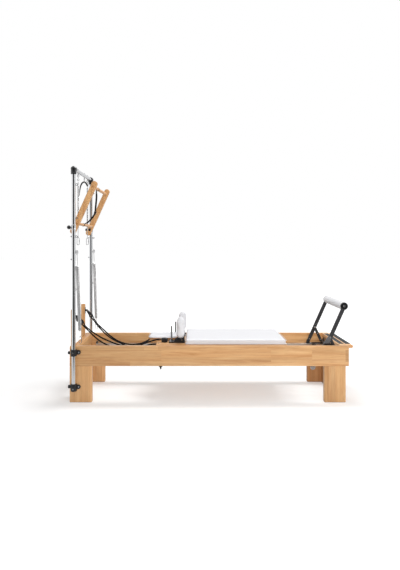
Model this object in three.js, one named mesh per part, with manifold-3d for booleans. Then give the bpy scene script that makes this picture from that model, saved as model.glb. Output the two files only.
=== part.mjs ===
// Pilates tower unit: a wooden sliding-carriage bed with a tubular tower at its head end.
//
// Millimetres, +Z up. Lengths below are measured from the head end of the side rails (X),
// from the centre plane of the bed (Y, near side negative) and from the floor (Z). One group
// shifts them so that the origin is the middle of the footprint, on the floor.

import * as THREE from 'three';
import { mergeVertices } from 'three/addons/utils/BufferGeometryUtils.js';
import Module from 'manifold-3d';

// ---------------------------------------------------------------- driving dimensions
const GAP = 0.3;                 // clearance between pieces that touch

const RAIL_LENGTH = 2403;        // side rails, end to end
const RAIL_OUT = 350;            // outer face of a side rail from the centre plane
const RAIL_IN = 305;             // inner face
const RAIL_BOTTOM = 312;
const RAIL_TOP = 483;

const LEG_WIDTH = 191;           // broad board of a leg, along the bed
const LEG_BOARD = 45;            // thickness of the leg boards
const LEG_RETURN = 200;          // width of the return board across the bed
const FOOT_LEG_END = 2376;       // outer end of the foot legs
const FOOT_LEG_WIDTH = 184;

const TRACK_TOP = 388;           // running surface of the wheel tracks
const TRACK_IN = 255;            // inner edge of a track
const TRACK_START = 110;
const TRACK_END = 2344.5;

const RISER_Y = 210;             // pulley posts
const RISER_TOP = 782;
const RISER_FRONT = 16;          // face towards the carriage

const POLE_X = 40;               // tower uprights
const POLE_Y = 372;
const POLE_R = 17;
const POLE_BORE = 15;
const POLE_BOTTOM = 115.4;
const POLE_TOP = 1975;
const BAR_Z = 2005;              // crossbar centre

const WHEEL_R = 38;              // carriage wheels
const AXLE_Z = TRACK_TOP + GAP + WHEEL_R;
const AXLE_HEAD_X = 860;
const AXLE_FOOT_X = 1760;
const DECK_BOTTOM = 467;
const DECK_TOP = 485;
const DECK_START = 740;
const DECK_END = 1880;
const DECK_HALF = 290;
const PAD_HALF = 298;            // the pad overhangs its deck a little
const PAD_TOP = 531;

const SWING_X = 40;              // pivot of the push-through bar
const SWING_Z = 1505;
const SWING_LEAN = 24.3 * Math.PI / 180;

const ROPE_R = 5;
const PULLEY_PIVOT = [35, 721];
const SHEAVE = [72, 671];
const ROPE_BEND = 15.4;          // centreline of the rope round a sheave

const FOOTBAR_PIVOT = [2197, 408];
const FOOTBAR_APEX = [2258, 546];
const FOOTBAR_WAIST = [2215, 448.5];     // the arm is a little wider from here up
const FOOTBAR_ROLL = [2380, 820];
const BRACE_TUBE = [2319, 415];
const FOOTBAR_Y = 283;           // inner face of a footbar arm

const PLATFORM_START = 2338;     // standing platform, let in between the rails
const PLATFORM_NOSE = 2452;
const PLATFORM_BOTTOM = 457.5;
const PLATFORM_TOP = 485.5;

const X0 = (PLATFORM_NOSE - 20) / 2;      // middle of the whole length

// ---------------------------------------------------------------- materials
const paint = (color, roughness, metalness = 0) =>
  new THREE.MeshStandardMaterial({ color, roughness, metalness });
const WOOD = () => paint(0xcf9c6b, 0.45);
const WOOD_LIGHT = () => paint(0xd8aa79, 0.5);
const CHROME = () => paint(0xd5d7d8, 0.12, 1);
const BLACK = () => paint(0x1a1b1c, 0.4, 0.2);
const GRAPHITE = () => paint(0x3d3d3e, 0.45, 0.4);
const ALUMINIUM = () => paint(0xbfc1c0, 0.35, 0.9);
const STEEL = () => paint(0x9c9ea0, 0.3, 1);
const VINYL = () => paint(0xf2f2f5, 0.5);
const ROPE = () => paint(0x141414, 0.9);
const WEB = () => paint(0x18181a, 0.85);

// ---------------------------------------------------------------- shape helpers
const wasm = await Module();
wasm.setup();

function box(x0, x1, y0, y1, z0, z1) {
  const g = new THREE.BoxGeometry(x1 - x0, y1 - y0, z1 - z0);
  g.translate((x0 + x1) / 2, (y0 + y1) / 2, (z0 + z1) / 2);
  return g;
}

function outline(points) {
  const s = new THREE.Shape();
  s.moveTo(points[0][0], points[0][1]);
  for (const p of points.slice(1)) s.lineTo(p[0], p[1]);
  s.closePath();
  return s;
}

// an outline drawn in X and Z, given thickness from y0 to y1
function plateXZ(shape, y0, y1) {
  const s = Array.isArray(shape) ? outline(shape) : shape;
  const g = new THREE.ExtrudeGeometry(s, { depth: y1 - y0, bevelEnabled: false, curveSegments: 8 });
  g.rotateX(Math.PI / 2);
  g.translate(0, y1, 0);
  return g;
}

// an outline drawn in Y and Z, given length from x0 to x1
function plateYZ(shape, x0, x1) {
  const s = Array.isArray(shape) ? outline(shape) : shape;
  const g = new THREE.ExtrudeGeometry(s, { depth: x1 - x0, bevelEnabled: false, curveSegments: 8 });
  g.applyMatrix4(new THREE.Matrix4().makeBasis(
    new THREE.Vector3(0, 1, 0), new THREE.Vector3(0, 0, 1), new THREE.Vector3(1, 0, 0)));
  g.translate(x0, 0, 0);
  return g;
}

// an outline drawn in X and Y, given height from z0 to z1
function plateXY(shape, z0, z1) {
  const s = Array.isArray(shape) ? outline(shape) : shape;
  const g = new THREE.ExtrudeGeometry(s, { depth: z1 - z0, bevelEnabled: false, curveSegments: 8 });
  g.translate(0, 0, z0);
  return g;
}

function rod(a, b, r, sides = 16) {
  const from = new THREE.Vector3(...a), to = new THREE.Vector3(...b);
  const along = to.clone().sub(from);
  const g = new THREE.CylinderGeometry(r, r, along.length(), sides);
  g.applyQuaternion(new THREE.Quaternion().setFromUnitVectors(
    new THREE.Vector3(0, 1, 0), along.clone().normalize()));
  const mid = from.add(to).multiplyScalar(0.5);
  g.translate(mid.x, mid.y, mid.z);
  return g;
}

// a wire ring with its axis along the given direction
function ring(centre, axis, R, r, around = 12, section = 5) {
  const profile = [];
  for (let i = 0; i <= section; i++) {
    const a = 2 * Math.PI * i / section;
    profile.push(new THREE.Vector2(R + r * Math.cos(a), r * Math.sin(a)));
  }
  const g = new THREE.LatheGeometry(profile, around);
  g.applyQuaternion(new THREE.Quaternion().setFromUnitVectors(
    new THREE.Vector3(0, 1, 0), new THREE.Vector3(...axis).normalize()));
  g.translate(...centre);
  return g;
}

function circleShape(cx, cz, r, sides) {
  const p = [];
  for (let i = 0; i < sides; i++) {
    const a = 2 * Math.PI * i / sides;
    p.push([cx + r * Math.cos(a), cz + r * Math.sin(a)]);
  }
  return outline(p);
}

// the convex outline round two circles: a bar with round ends
function bar2(a, ra, b, rb, sides = 10) {
  const dx = b[0] - a[0], dz = b[1] - a[1];
  const L = Math.hypot(dx, dz);
  const base = Math.atan2(dz, dx);
  const t = Math.acos((ra - rb) / L);
  const p = [];
  for (let i = 0; i <= sides; i++) {
    const w = base + t + (2 * Math.PI - 2 * t) * i / sides;
    p.push([a[0] + ra * Math.cos(w), a[1] + ra * Math.sin(w)]);
  }
  for (let i = 0; i <= sides; i++) {
    const w = base - t + 2 * t * i / sides;
    p.push([b[0] + rb * Math.cos(w), b[1] + rb * Math.sin(w)]);
  }
  return outline(p);
}

function solid(geometry) {
  let g = geometry.index ? geometry.clone() : geometry.clone();
  g.deleteAttribute('normal');
  g.deleteAttribute('uv');
  g = mergeVertices(g, 1e-4);
  const m = new wasm.Mesh({
    numProp: 3,
    vertProperties: new Float32Array(g.attributes.position.array),
    triVerts: new Uint32Array(g.index.array),
  });
  return new wasm.Manifold(m);
}

function geometryOf(manifold) {
  const m = manifold.getMesh();
  const g = new THREE.BufferGeometry();
  const n = m.vertProperties.length / m.numProp;
  const pos = new Float32Array(n * 3);
  for (let i = 0; i < n; i++)
    for (let k = 0; k < 3; k++) pos[3 * i + k] = m.vertProperties[m.numProp * i + k];
  g.setAttribute('position', new THREE.BufferAttribute(pos, 3));
  g.setIndex(new THREE.BufferAttribute(new Uint32Array(m.triVerts), 1));
  g.computeVertexNormals();
  return g;
}

const join = (...list) => list.map(g => g.isBufferGeometry ? solid(g) : g).reduce((a, b) => a.add(b));
const cut = (a, ...list) => list.reduce((m, g) => m.subtract(g.isBufferGeometry ? solid(g) : g),
  a.isBufferGeometry ? solid(a) : a);

// a curve whose steps follow its control points, so that tight bends get short steps
class RoutedCurve extends THREE.CatmullRomCurve3 {
  getUtoTmapping(u) { return u; }
}

const unit = new THREE.Group();
unit.position.x = -X0;
function add(name, shape, material, group = unit) {
  const g = shape.isBufferGeometry ? shape : geometryOf(shape);
  const mesh = new THREE.Mesh(g, material);
  mesh.name = name;
  group.add(mesh);
  return mesh;
}

const SIDES = [['near', -1], ['far', 1]];
// the span from |y| = a to |y| = b on one side, low value first
const span = (side, a, b) => side < 0 ? [-b, -a] : [a, b];

// ---------------------------------------------------------------- wooden bed frame
for (const [label, side] of SIDES) {
  const [r0, r1] = span(side, RAIL_IN, RAIL_OUT);
  add(`side_rail_${label}`, box(0, RAIL_LENGTH, r0, r1, RAIL_BOTTOM, RAIL_TOP), WOOD());
}
add('head_board', box(RISER_FRONT + GAP, RISER_FRONT + GAP + 45, -RAIL_IN + GAP, RAIL_IN - GAP, RAIL_BOTTOM, RAIL_TOP), WOOD());
add('foot_board', box(2345, 2390, -RAIL_IN + GAP, RAIL_IN - GAP, RAIL_BOTTOM, PLATFORM_BOTTOM - GAP), WOOD());

for (const [label, side] of SIDES) {
  const y = v => side * v;
  const legTop = RAIL_BOTTOM - GAP;
  const corner = (x0, x1, xr) => {      // broad board along the rail, return board across the end
    const p = [[x0, y(RAIL_OUT)], [x1, y(RAIL_OUT)]];
    if (xr > 0) p.push([x1, y(RAIL_OUT - LEG_BOARD)], [x0 + LEG_BOARD, y(RAIL_OUT - LEG_BOARD)],
      [x0 + LEG_BOARD, y(RAIL_OUT - LEG_RETURN)], [x0, y(RAIL_OUT - LEG_RETURN)]);
    else p.push([x1, y(RAIL_OUT - LEG_RETURN)], [x1 - LEG_BOARD, y(RAIL_OUT - LEG_RETURN)],
      [x1 - LEG_BOARD, y(RAIL_OUT - LEG_BOARD)], [x0, y(RAIL_OUT - LEG_BOARD)]);
    return p;
  };
  add(`leg_head_${label}`, plateXY(corner(0, LEG_WIDTH, 1), 0, legTop), WOOD());
  add(`leg_foot_${label}`, plateXY(corner(FOOT_LEG_END - FOOT_LEG_WIDTH, FOOT_LEG_END, -1), 0, legTop), WOOD());
}

// tracks with a tapered section, screwed to the inside of the rails
for (const [label, side] of SIDES) {
  const s = v => side * v;
  add(`track_${label}`, plateYZ([
    [s(RAIL_IN - GAP), 360], [s(RAIL_IN - GAP), TRACK_TOP], [s(TRACK_IN), TRACK_TOP],
    [s(TRACK_IN), TRACK_TOP - 6], [s(RAIL_IN - 8), 360],
  ], TRACK_START, TRACK_END), ALUMINIUM());
}

{
  const nose = [];
  for (let i = 0; i <= 6; i++) {
    const a = -Math.PI / 2 + Math.PI * i / 6;
    const up = a > 0 ? 1 : -1;
    nose.push([PLATFORM_NOSE - 11 + 11 * Math.cos(a),
      (up > 0 ? PLATFORM_TOP - 11 : PLATFORM_BOTTOM + 11) + 11 * Math.sin(a)]);
  }
  add('standing_platform', plateXZ([[PLATFORM_START, PLATFORM_BOTTOM], ...nose, [PLATFORM_START, PLATFORM_TOP]],
    -RAIL_IN + GAP, RAIL_IN - GAP), WOOD_LIGHT());
}

// cross bar between the tracks that the carriage springs pull on
add('spring_bar', box(2226, 2254, -TRACK_IN + GAP, TRACK_IN - GAP, 352, 392), BLACK());

// ---------------------------------------------------------------- pulley posts and pulleys
for (const [label, side] of SIDES) {
  const yc = side * RISER_Y;
  const [px, pz] = PULLEY_PIVOT;
  const ear = s => plateXZ(bar2([8, pz], 9, [px, pz], 8), yc + s * 11.85 - 1.5, yc + s * 11.85 + 1.5);
  add(`riser_${label}`, join(
    box(-20, RISER_FRONT, yc - 20, yc + 20, 330, RISER_TOP), ear(-1), ear(1),
    rod([px, yc - 12, pz], [px, yc + 12, pz], 3, 16)), WOOD());

  const [sx, sz] = SHEAVE;
  const L = Math.hypot(sx - px, sz - pz);
  const dx = (sx - px) / L, dz = (sz - pz) / L;
  const cheek = (a, b) => plateXZ(bar2([px, pz], 8, [sx + 5 * dx, sz + 5 * dz], 15), yc + a, yc + b);
  // the rope runs in the slot between the cheeks
  const slot = plateXZ(bar2([sx - 1 * dx, sz - 1 * dz], 21.5, [sx + 40 * dx, sz + 40 * dz], 21.5), yc - 7.4, yc + 7.4);
  add(`pulley_block_${label}`, join(
    cut(cheek(-10, 10), slot, rod([px, yc - 12, pz], [px, yc + 12, pz], 3.4, 16)),
    rod([sx, yc - 9, sz], [sx, yc + 9, sz], 4, 16)), BLACK());

  const wheel = new THREE.LatheGeometry([
    [4.4, -7], [15, -7], [15, -5.6], [10, -5.6], [10, 5.6], [15, 5.6], [15, 7], [4.4, 7], [4.4, -7],
  ].map(p => new THREE.Vector2(...p)), 18);
  wheel.translate(sx, yc, sz);
  add(`pulley_sheave_${label}`, wheel, GRAPHITE());
}

// ---------------------------------------------------------------- tower
for (const [label, side] of SIDES) {
  const yp = side * POLE_Y;
  const wall = circleShape(POLE_X, yp, POLE_R, 24);
  wall.holes.push(circleShape(POLE_X, yp, POLE_BORE, 16));
  const eye = (z, x = 65, R = 8, r = 2.3) => ring([x, yp, z], [0, 1, 0], R, r);
  const nut = z => rod([14, yp, z], [24.4, yp, z], 6, 6);
  add(`tower_pole_${label}`, join(
    plateXY(wall, POLE_BOTTOM, POLE_TOP),
    eye(1871), eye(1587), eye(1426), eye(1299, 68.5), rod([54, yp, 1299], [61.5, yp, 1299], 2.6, 10),
    eye(973, 55.4, 6.8, 1.8), nut(1426), nut(1230)), CHROME());
}
{
  const ys = 355;
  const wall = circleShape(POLE_X, BAR_Z, POLE_R, 24);
  wall.holes.push(circleShape(POLE_X, BAR_Z, POLE_BORE, 16));
  const eyes = [-200, 62, 200].map(y => ring([POLE_X, y, BAR_Z - 24], [1, 0, 0], 8, 2.3));
  const nuts = [-200, 62, 200].map(y => rod([POLE_X, y, BAR_Z + 15.5], [POLE_X, y, BAR_Z + 24.5], 6, 6));
  add('tower_crossbar', join(plateXZ(wall, -ys, ys), ...eyes, ...nuts), CHROME());
}
for (const [label, side] of SIDES) {
  const s = v => side * v;
  // a socket for the pole, one for the crossbar, and a round corner where they meet
  add(`corner_elbow_${label}`, cut(join(
    rod([POLE_X, s(POLE_Y), 1958.5], [POLE_X, s(POLE_Y), BAR_Z], 23.5, 28),
    rod([POLE_X, s(336), BAR_Z], [POLE_X, s(POLE_Y), BAR_Z], 23.5, 28),
    new THREE.SphereGeometry(25, 24, 14).rotateX(Math.PI / 2).translate(POLE_X, s(POLE_Y), BAR_Z)),
  rod([POLE_X, s(POLE_Y), 1950], [POLE_X, s(POLE_Y), POLE_TOP + 0.4], POLE_R + 0.4, 24),
  rod([POLE_X, s(330), BAR_Z], [POLE_X, s(355.5), BAR_Z], POLE_R + 0.4, 24)), BLACK());

  // upper clamp, open at both ends, with a threaded hole for its lock knob
  const [e0, e1] = span(side, RAIL_OUT + GAP, 360);
  const [b0, b1] = span(side, RAIL_OUT + GAP, POLE_Y);
  const body = (z0, z1) => cut(join(
    rod([POLE_X, s(POLE_Y), z0], [POLE_X, s(POLE_Y), z1], 25, 24), box(16, 64, b0, b1, z0, z1)),
  box(0, 100, ...span(side, 300, RAIL_OUT + GAP), z0 - 5, z1 + 5));
  add(`pole_bracket_${label}`, cut(
    join(body(403, 458), plateXZ(bar2([40, 432], 19, [78, 432], 19), e0, e1)),
    rod([POLE_X, s(POLE_Y), 390], [POLE_X, s(POLE_Y), 470], POLE_R + 0.4, 24),
    rod([5, s(POLE_Y), 432], [30, s(POLE_Y), 432], 4.4, 16)), BLACK());
  add(`lock_knob_${label}`, join(
    rod([-9, s(POLE_Y), 432], [11, s(POLE_Y), 432], 14, 24),
    rod([10, s(POLE_Y), 432], [22.2, s(POLE_Y), 432], 4, 16)), BLACK());

  // lower socket: a cup that the pole stands in
  add(`pole_socket_${label}`, join(cut(
    join(body(103, 164), plateXZ(bar2([40, 136], 19, [77, 136], 19), e0, e1)),
    rod([POLE_X, s(POLE_Y), 115], [POLE_X, s(POLE_Y), 180], POLE_R + 0.4, 24)),
  rod([-6, s(POLE_Y), 142.5], [17, s(POLE_Y), 142.5], 14.5, 24)), BLACK());
}

// springs that hang from the tower: coil, hooks and end rings
function hangingSpring(O, w, across, coilR, marks) {
  const at = d => [O[0] + w[0] * d, O[1] + w[1] * d, O[2] + w[2] * d];
  return join(
    ring(at(9), across, 9, 2), rod(at(17), at(marks[0] + 2), 3, 10),
    rod(at(marks[0]), at(marks[1]), coilR, 20),
    rod(at(marks[1] - 2), at(marks[2] - 17), 3, 10), ring(at(marks[2] - 9), across, 9, 2));
}
// a long flat link at the end of a spring that hangs straight down
function endLink(x, y, z0, z1) {
  const s = bar2([x, z0], 12, [x, z1], 12, 8);
  s.holes.push(bar2([x, z0], 8, [x, z1], 8, 8));
  return plateXZ(s, y - 2, y + 2);
}
for (const [label, side] of SIDES) {
  const lean = Math.atan2(24.1, 663.8);
  const w = [Math.sin(lean), 0, -Math.cos(lean)];
  add(`tower_spring_${label}`, hangingSpring([68.5, side * POLE_Y, 1295.8], w,
    [Math.cos(lean), 0, Math.sin(lean)], 15.2, [123, 674, 783]), STEEL());
  const y = side * 200, top = BAR_Z - 27.2;
  add(`crossbar_spring_${label}`, join(
    ring([POLE_X, y, top - 9], [0, 1, 0], 9, 2), rod([POLE_X, y, top - 17], [POLE_X, y, top - 74], 3, 10),
    rod([POLE_X, y, top - 72], [POLE_X, y, top - 470], 7.5, 20),
    rod([POLE_X, y, top - 468], [POLE_X, y, top - 562], 3, 10),
    endLink(POLE_X, y, top - 611, top - 571)), STEEL());
}

// ---------------------------------------------------------------- push-through bar
const ux = Math.sin(SWING_LEAN), uz = Math.cos(SWING_LEAN);
const onArm = d => [SWING_X + ux * d, SWING_Z + uz * d];
for (const [label, side] of SIDES) {
  const s = v => side * v;
  const [a0, a1] = span(side, 307, 341);
  add(`bar_arm_${label}`, cut(
    plateXZ(bar2(onArm(-35), 25, onArm(413), 25, 14), a0, a1),
    rod([SWING_X, s(300), SWING_Z], [SWING_X, s(350), SWING_Z], 8.4, 20)), WOOD());
  add(`bar_clamp_${label}`, join(
    cut(join(rod([POLE_X, s(POLE_Y), 1482], [POLE_X, s(POLE_Y), 1528], 21, 28),
      rod([SWING_X, s(341.3), SWING_Z], [SWING_X, s(356), SWING_Z], 14, 20)),
    rod([POLE_X, s(POLE_Y), 1470], [POLE_X, s(POLE_Y), 1540], POLE_R + 0.4, 24)),
    rod([SWING_X, s(302), SWING_Z], [SWING_X, s(353), SWING_Z], 8, 20),
    rod([SWING_X, s(299), SWING_Z], [SWING_X, s(306.7), SWING_Z], 13, 20),
    rod([10, s(POLE_Y), SWING_Z], [21.5, s(POLE_Y), SWING_Z], 8, 16),
    new THREE.SphereGeometry(17.4, 14, 8).translate(0, s(POLE_Y), SWING_Z)), CHROME());
}
const TOP_DOWEL = [197, 1858], LOW_DOWEL = [64, 1537];
add('bar_dowel_top', rod([TOP_DOWEL[0], -306.7, TOP_DOWEL[1]], [TOP_DOWEL[0], 306.7, TOP_DOWEL[1]], 13.5, 24), WOOD());
add('bar_dowel_low', rod([LOW_DOWEL[0], -306.7, LOW_DOWEL[1]], [LOW_DOWEL[0], 306.7, LOW_DOWEL[1]], 12, 24), WOOD());

// slack strap from one dowel to the other, sewn into a loop round each
{
  const line = [[182.3, 1852], [185, 1800], [181, 1740], [176, 1690], [172.5, 1650], [158, 1618],
    [134, 1588], [108, 1562], [84, 1548], [74, 1544]];
  // the webbing lies flat on each dowel and turns side on between them
  const turn = [0, 40, 62, 78, 82, 48, 40, 36, 16, 0].map(d => d * Math.PI / 180);
  const edges = line.map((c, i) => {
    const p = line[Math.max(0, i - 1)], q = line[Math.min(line.length - 1, i + 1)];
    const L = Math.hypot(q[0] - p[0], q[1] - p[1]);
    const nx = -(q[1] - p[1]) / L, nz = (q[0] - p[0]) / L;
    const wide = [Math.sin(turn[i]) * nx, Math.cos(turn[i]), Math.sin(turn[i]) * nz];
    const thick = [Math.cos(turn[i]) * nx, -Math.sin(turn[i]), Math.cos(turn[i]) * nz];
    return [[1, 1], [-1, 1], [-1, -1], [1, -1]].map(([a, b]) => [
      c[0] + 8 * a * wide[0] + 1.3 * b * thick[0], -100 + 8 * a * wide[1] + 1.3 * b * thick[1],
      c[1] + 8 * a * wide[2] + 1.3 * b * thick[2]]);
  });
  const lengths = [];
  for (let i = 0; i + 1 < edges.length; i++)
    lengths.push(wasm.Manifold.hull([...edges[i], ...edges[i + 1]]));
  const loop = (c, r) => {
    const s = circleShape(c[0], c[1], r + 2.4, 20);
    s.holes.push(circleShape(c[0], c[1], r + 0.5, 20));
    return plateXZ(s, -108, -92);
  };
  add('bar_strap', join(...lengths, loop(TOP_DOWEL, 13.5), loop(LOW_DOWEL, 12)), WEB());
}

// ---------------------------------------------------------------- carriage
{
  const lug = (x, y0, y1, z0) => box(x - 22, x + 22, y0, y1, z0, DECK_BOTTOM + 1);
  const blocks = [];
  for (const x of [AXLE_HEAD_X, AXLE_FOOT_X])
    for (const side of [-1, 1]) blocks.push(lug(x, ...span(side, 238, 252), 410));
  for (const side of [-1, 1]) {
    blocks.push(box(1836, 1864, ...span(side, 205, 230), 358, DECK_BOTTOM + 1));
    // low blocks that carry the headrest board
    blocks.push(box(752, 776, ...span(side, 62, 92), DECK_TOP - 1, 496.7));
    blocks.push(box(890, 912, ...span(side, 62, 92), DECK_TOP - 1, 496.7));
  }
  add('carriage_deck', cut(
    join(box(DECK_START, DECK_END, -DECK_HALF, DECK_HALF, DECK_BOTTOM, DECK_TOP), ...blocks),
    rod([AXLE_HEAD_X, -260, AXLE_Z], [AXLE_HEAD_X, 260, AXLE_Z], 6.5, 20),
    rod([AXLE_FOOT_X, -260, AXLE_Z], [AXLE_FOOT_X, 260, AXLE_Z], 6.5, 20)), WOOD());
}
add('carriage_pad', box(993, DECK_END, -PAD_HALF, PAD_HALF, DECK_TOP + GAP, PAD_TOP), VINYL());
// thin pad on its board; it tips up about its foot edge
add('headrest', box(657, 914, -115, 115, 497, 529), VINYL());
for (const [name, x] of [['wheelset_head', AXLE_HEAD_X], ['wheelset_foot', AXLE_FOOT_X]]) {
  add(name, join(
    rod([x, -292, AXLE_Z], [x, 292, AXLE_Z], 6, 12),
    ...[-1, 1].map(s => rod([x, s * 264, AXLE_Z], [x, s * 292, AXLE_Z], WHEEL_R, 32))), GRAPHITE());
}
for (const [label, side] of SIDES) {
  const s = v => side * v;
  const peg = side < 0 ? 868 : 895;       // the two pegs stand in different holes
  add(`shoulder_base_${label}`, join(
    box(846, 990, ...span(side, 117, 216), DECK_TOP + GAP, 496),
    box(917, 986, ...span(side, 122, 214), 495, 535.7),
    rod([peg, s(128), 495], [peg, s(128), 625], 7, 16)), BLACK());
  const mid = side < 0 ? 952.5 : 961;
  add(`shoulder_pad_${label}`, plateXZ(bar2([mid, 571], 35, [mid, 676], 35, 10), ...span(side, 112, 262)), VINYL());
}

// hand straps, rolled up and standing on the deck
for (const [label, side] of SIDES) {
  const g = rod([808, side * 170, DECK_TOP + GAP], [808, side * 170, 521.5], 29.5, 22);
  add(`hand_strap_${label}`, g, WEB());
}

// pull springs under the carriage, on one anchor bar
add('carriage_springs', join(
  rod([1850, -204.6, 372], [1850, 204.6, 372], 6, 16),
  ...[-165, -55, 55, 165].map(y => rod([1850, y, 372], [2225.6, y, 372], 11, 16))), STEEL());

// ---------------------------------------------------------------- ropes
// each rope runs from the deck's head edge to its pulley and back to the rolled hand strap
const WRAP = (() => {
  const [sx, sz] = SHEAVE;
  const L = Math.hypot(sx - PULLEY_PIVOT[0], sz - PULLEY_PIVOT[1]);
  const base = Math.atan2(PULLEY_PIVOT[1] - sz, PULLEY_PIVOT[0] - sx);   // towards the pivot
  const out = [];
  for (let i = 0; i <= 8; i++) {
    const a = base + Math.PI / 2 - Math.PI * i / 8;                      // lower side to upper side
    out.push([sx + ROPE_BEND * Math.cos(a), sz + ROPE_BEND * Math.sin(a)]);
  }
  return out;
})();
const ROUTES = {
  near: {
    work: [[739.6, 476], [712, 476], [680, 472], [630, 458], [570, 440], [500, 430], [430, 434],
      [360, 449], [295, 473], [235, 506], [182, 548], [154, 573.5], [130, 596.5], [111, 614.5], [88, 637]],
    hand: [[96, 660], [111, 634], [130, 614.5], [154, 592.5], [188, 566], [240, 531], [300, 500], [365, 473],
      [435, 454], [510, 448], [585, 460], [650, 482], [705, 500], [745, 509], [778, 510]],
  },
  far: {
    work: [[739.6, 476], [712, 475], [680, 464], [640, 437], [590, 400], [530, 371], [465, 367],
      [395, 384], [330, 418], [265, 460], [205, 513.5], [154, 569], [130, 594.5], [111, 614.5], [88, 637]],
    hand: [[96, 660], [111, 634], [130, 612.5], [154, 587.5], [182, 559.5], [235, 511], [300, 465], [365, 430],
      [435, 408], [510, 400], [575, 412], [635, 440], [690, 476], [735, 502], [778, 508]],
  },
};
for (const [label, side] of SIDES) {
  const r = ROUTES[label];
  const spread = x => Math.min(1, Math.max(0, (x - 120) / 200));          // the strands part side by side
  const path = [
    ...r.work.map(([x, z]) => [x, RISER_Y + 14 * spread(x), z]),
    ...WRAP.map(([x, z]) => [x, RISER_Y, z]),
    ...r.hand.map(([x, z]) => [x, RISER_Y - 34 * spread(x), z]),
  ].map(([x, y, z]) => new THREE.Vector3(x, side * y, z));
  const curve = new RoutedCurve(path, false, 'centripetal');
  const section = circleShape(0, 0, ROPE_R, 8);
  add(`rope_${label}`, new THREE.ExtrudeGeometry(section, {
    steps: 2 * (path.length - 1), extrudePath: curve, bevelEnabled: false,
  }), ROPE());
}

// ---------------------------------------------------------------- footbar
const [fx, fz] = FOOTBAR_PIVOT;
for (const [label, side] of SIDES) {
  const s = v => side * v;
  const [a0, a1] = span(side, FOOTBAR_Y, FOOTBAR_Y + 12);
  add(`footbar_arm_${label}`, cut(
    join(plateXZ(bar2(FOOTBAR_PIVOT, 15, FOOTBAR_ROLL, 15), a0, a1),
      plateXZ(bar2(FOOTBAR_WAIST, 17, FOOTBAR_ROLL, 17), a0, a1),
      // the near arm is stiffened below its brace
      ...(side < 0 ? [plateXZ([[2186, 398], [2212, 400], [2262, 520], [2270, 548], [2262, 560], [2250, 563],
        [2240, 557], [2228, 541], [2198, 496], [2185, 470], [2180, 440], [2181, 410]], a0, a1)] : []),
      plateXZ(circleShape(FOOTBAR_ROLL[0], FOOTBAR_ROLL[1], 33, 24), a0, a1)),
    rod([fx, s(270), fz], [fx, s(310), fz], 6.4, 20),
    rod([FOOTBAR_APEX[0], s(270), FOOTBAR_APEX[1]], [FOOTBAR_APEX[0], s(310), FOOTBAR_APEX[1]], 5.4, 16)), GRAPHITE());

  // foot plate on the track: rest with a stop for the brace inboard, hinge lug outboard
  const rest = plateXZ([[2238, 388.4], [2344.2, 388.4], [2344.2, 445], [2332.5, 445], [2332.5, 402],
    [2238, 402]], ...span(side, 258, 270));
  add(`footbar_bracket_${label}`, join(rest,
    box(2176, 2344.2, ...span(side, 258, 304.5), 388.4, 392),
    cut(plateXZ(bar2([fx, 394], 16, [fx, fz], 16), ...span(side, 295.5, 304.5)),
      box(fx - 30, fx + 30, ...span(side, 290, 310), 370, 388.4)),
    rod([fx, s(281), fz], [fx, s(297), fz], 6, 20)), BLACK());
}
add('footbar_roll', rod([FOOTBAR_ROLL[0], -282.6, FOOTBAR_ROLL[1]], [FOOTBAR_ROLL[0], 282.6, FOOTBAR_ROLL[1]], 35, 40), VINYL());
add('footbar_brace', join(
  rod([BRACE_TUBE[0], -280, BRACE_TUBE[1]], [BRACE_TUBE[0], 280, BRACE_TUBE[1]], 12, 24),
  ...[-1, 1].map(side => join(
    plateXZ(bar2(FOOTBAR_APEX, 13, BRACE_TUBE, 13), ...span(side, 272, 280)),
    rod([FOOTBAR_APEX[0], side * 278, FOOTBAR_APEX[1]], [FOOTBAR_APEX[0], side * 298, FOOTBAR_APEX[1]], 5, 16)))), GRAPHITE());

const model = new THREE.Group();
model.add(unit);
export default model;
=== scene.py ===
import math

import bmesh
import bpy
import numpy as np
from mathutils import Matrix, Vector


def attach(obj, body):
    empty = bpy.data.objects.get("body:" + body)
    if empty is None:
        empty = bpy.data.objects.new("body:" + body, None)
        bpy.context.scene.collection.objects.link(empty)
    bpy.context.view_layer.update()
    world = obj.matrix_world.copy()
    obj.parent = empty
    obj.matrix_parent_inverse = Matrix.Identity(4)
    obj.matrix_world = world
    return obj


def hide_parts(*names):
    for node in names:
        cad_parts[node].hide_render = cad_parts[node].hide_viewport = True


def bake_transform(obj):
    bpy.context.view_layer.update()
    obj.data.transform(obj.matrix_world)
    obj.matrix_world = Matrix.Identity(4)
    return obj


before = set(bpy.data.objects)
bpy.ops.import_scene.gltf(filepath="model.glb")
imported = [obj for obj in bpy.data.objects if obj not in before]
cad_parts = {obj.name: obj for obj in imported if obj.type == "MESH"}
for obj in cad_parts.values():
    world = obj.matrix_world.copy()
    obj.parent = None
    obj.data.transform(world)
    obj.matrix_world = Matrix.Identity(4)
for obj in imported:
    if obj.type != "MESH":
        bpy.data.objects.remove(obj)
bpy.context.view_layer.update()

scene = bpy.context.scene

# Lengths in the shape code are millimetres: X from the head end of the side rails, Y from the
# middle of the bed, Z from the floor. place() turns them into the row frame's metres.
X0 = 1216.0


def place(p):
    return ((p[0] - X0) / 1000.0, p[1] / 1000.0, p[2] / 1000.0)


# ------------------------------------------------------------------ camera
cam_data = bpy.data.cameras.new("camera")
cam = bpy.data.objects.new("camera", cam_data)
scene.collection.objects.link(cam)
cam.location = (-0.1590, -4.740, 1.3528)
cam.rotation_euler = (math.pi / 2, 0, 0)
cam_data.lens = 32.24
cam_data.sensor_width = 36
cam_data.shift_x = 0.0132
cam_data.shift_y = -0.070
cam_data.clip_start, cam_data.clip_end = 0.05, 100
scene.camera = cam


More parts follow.
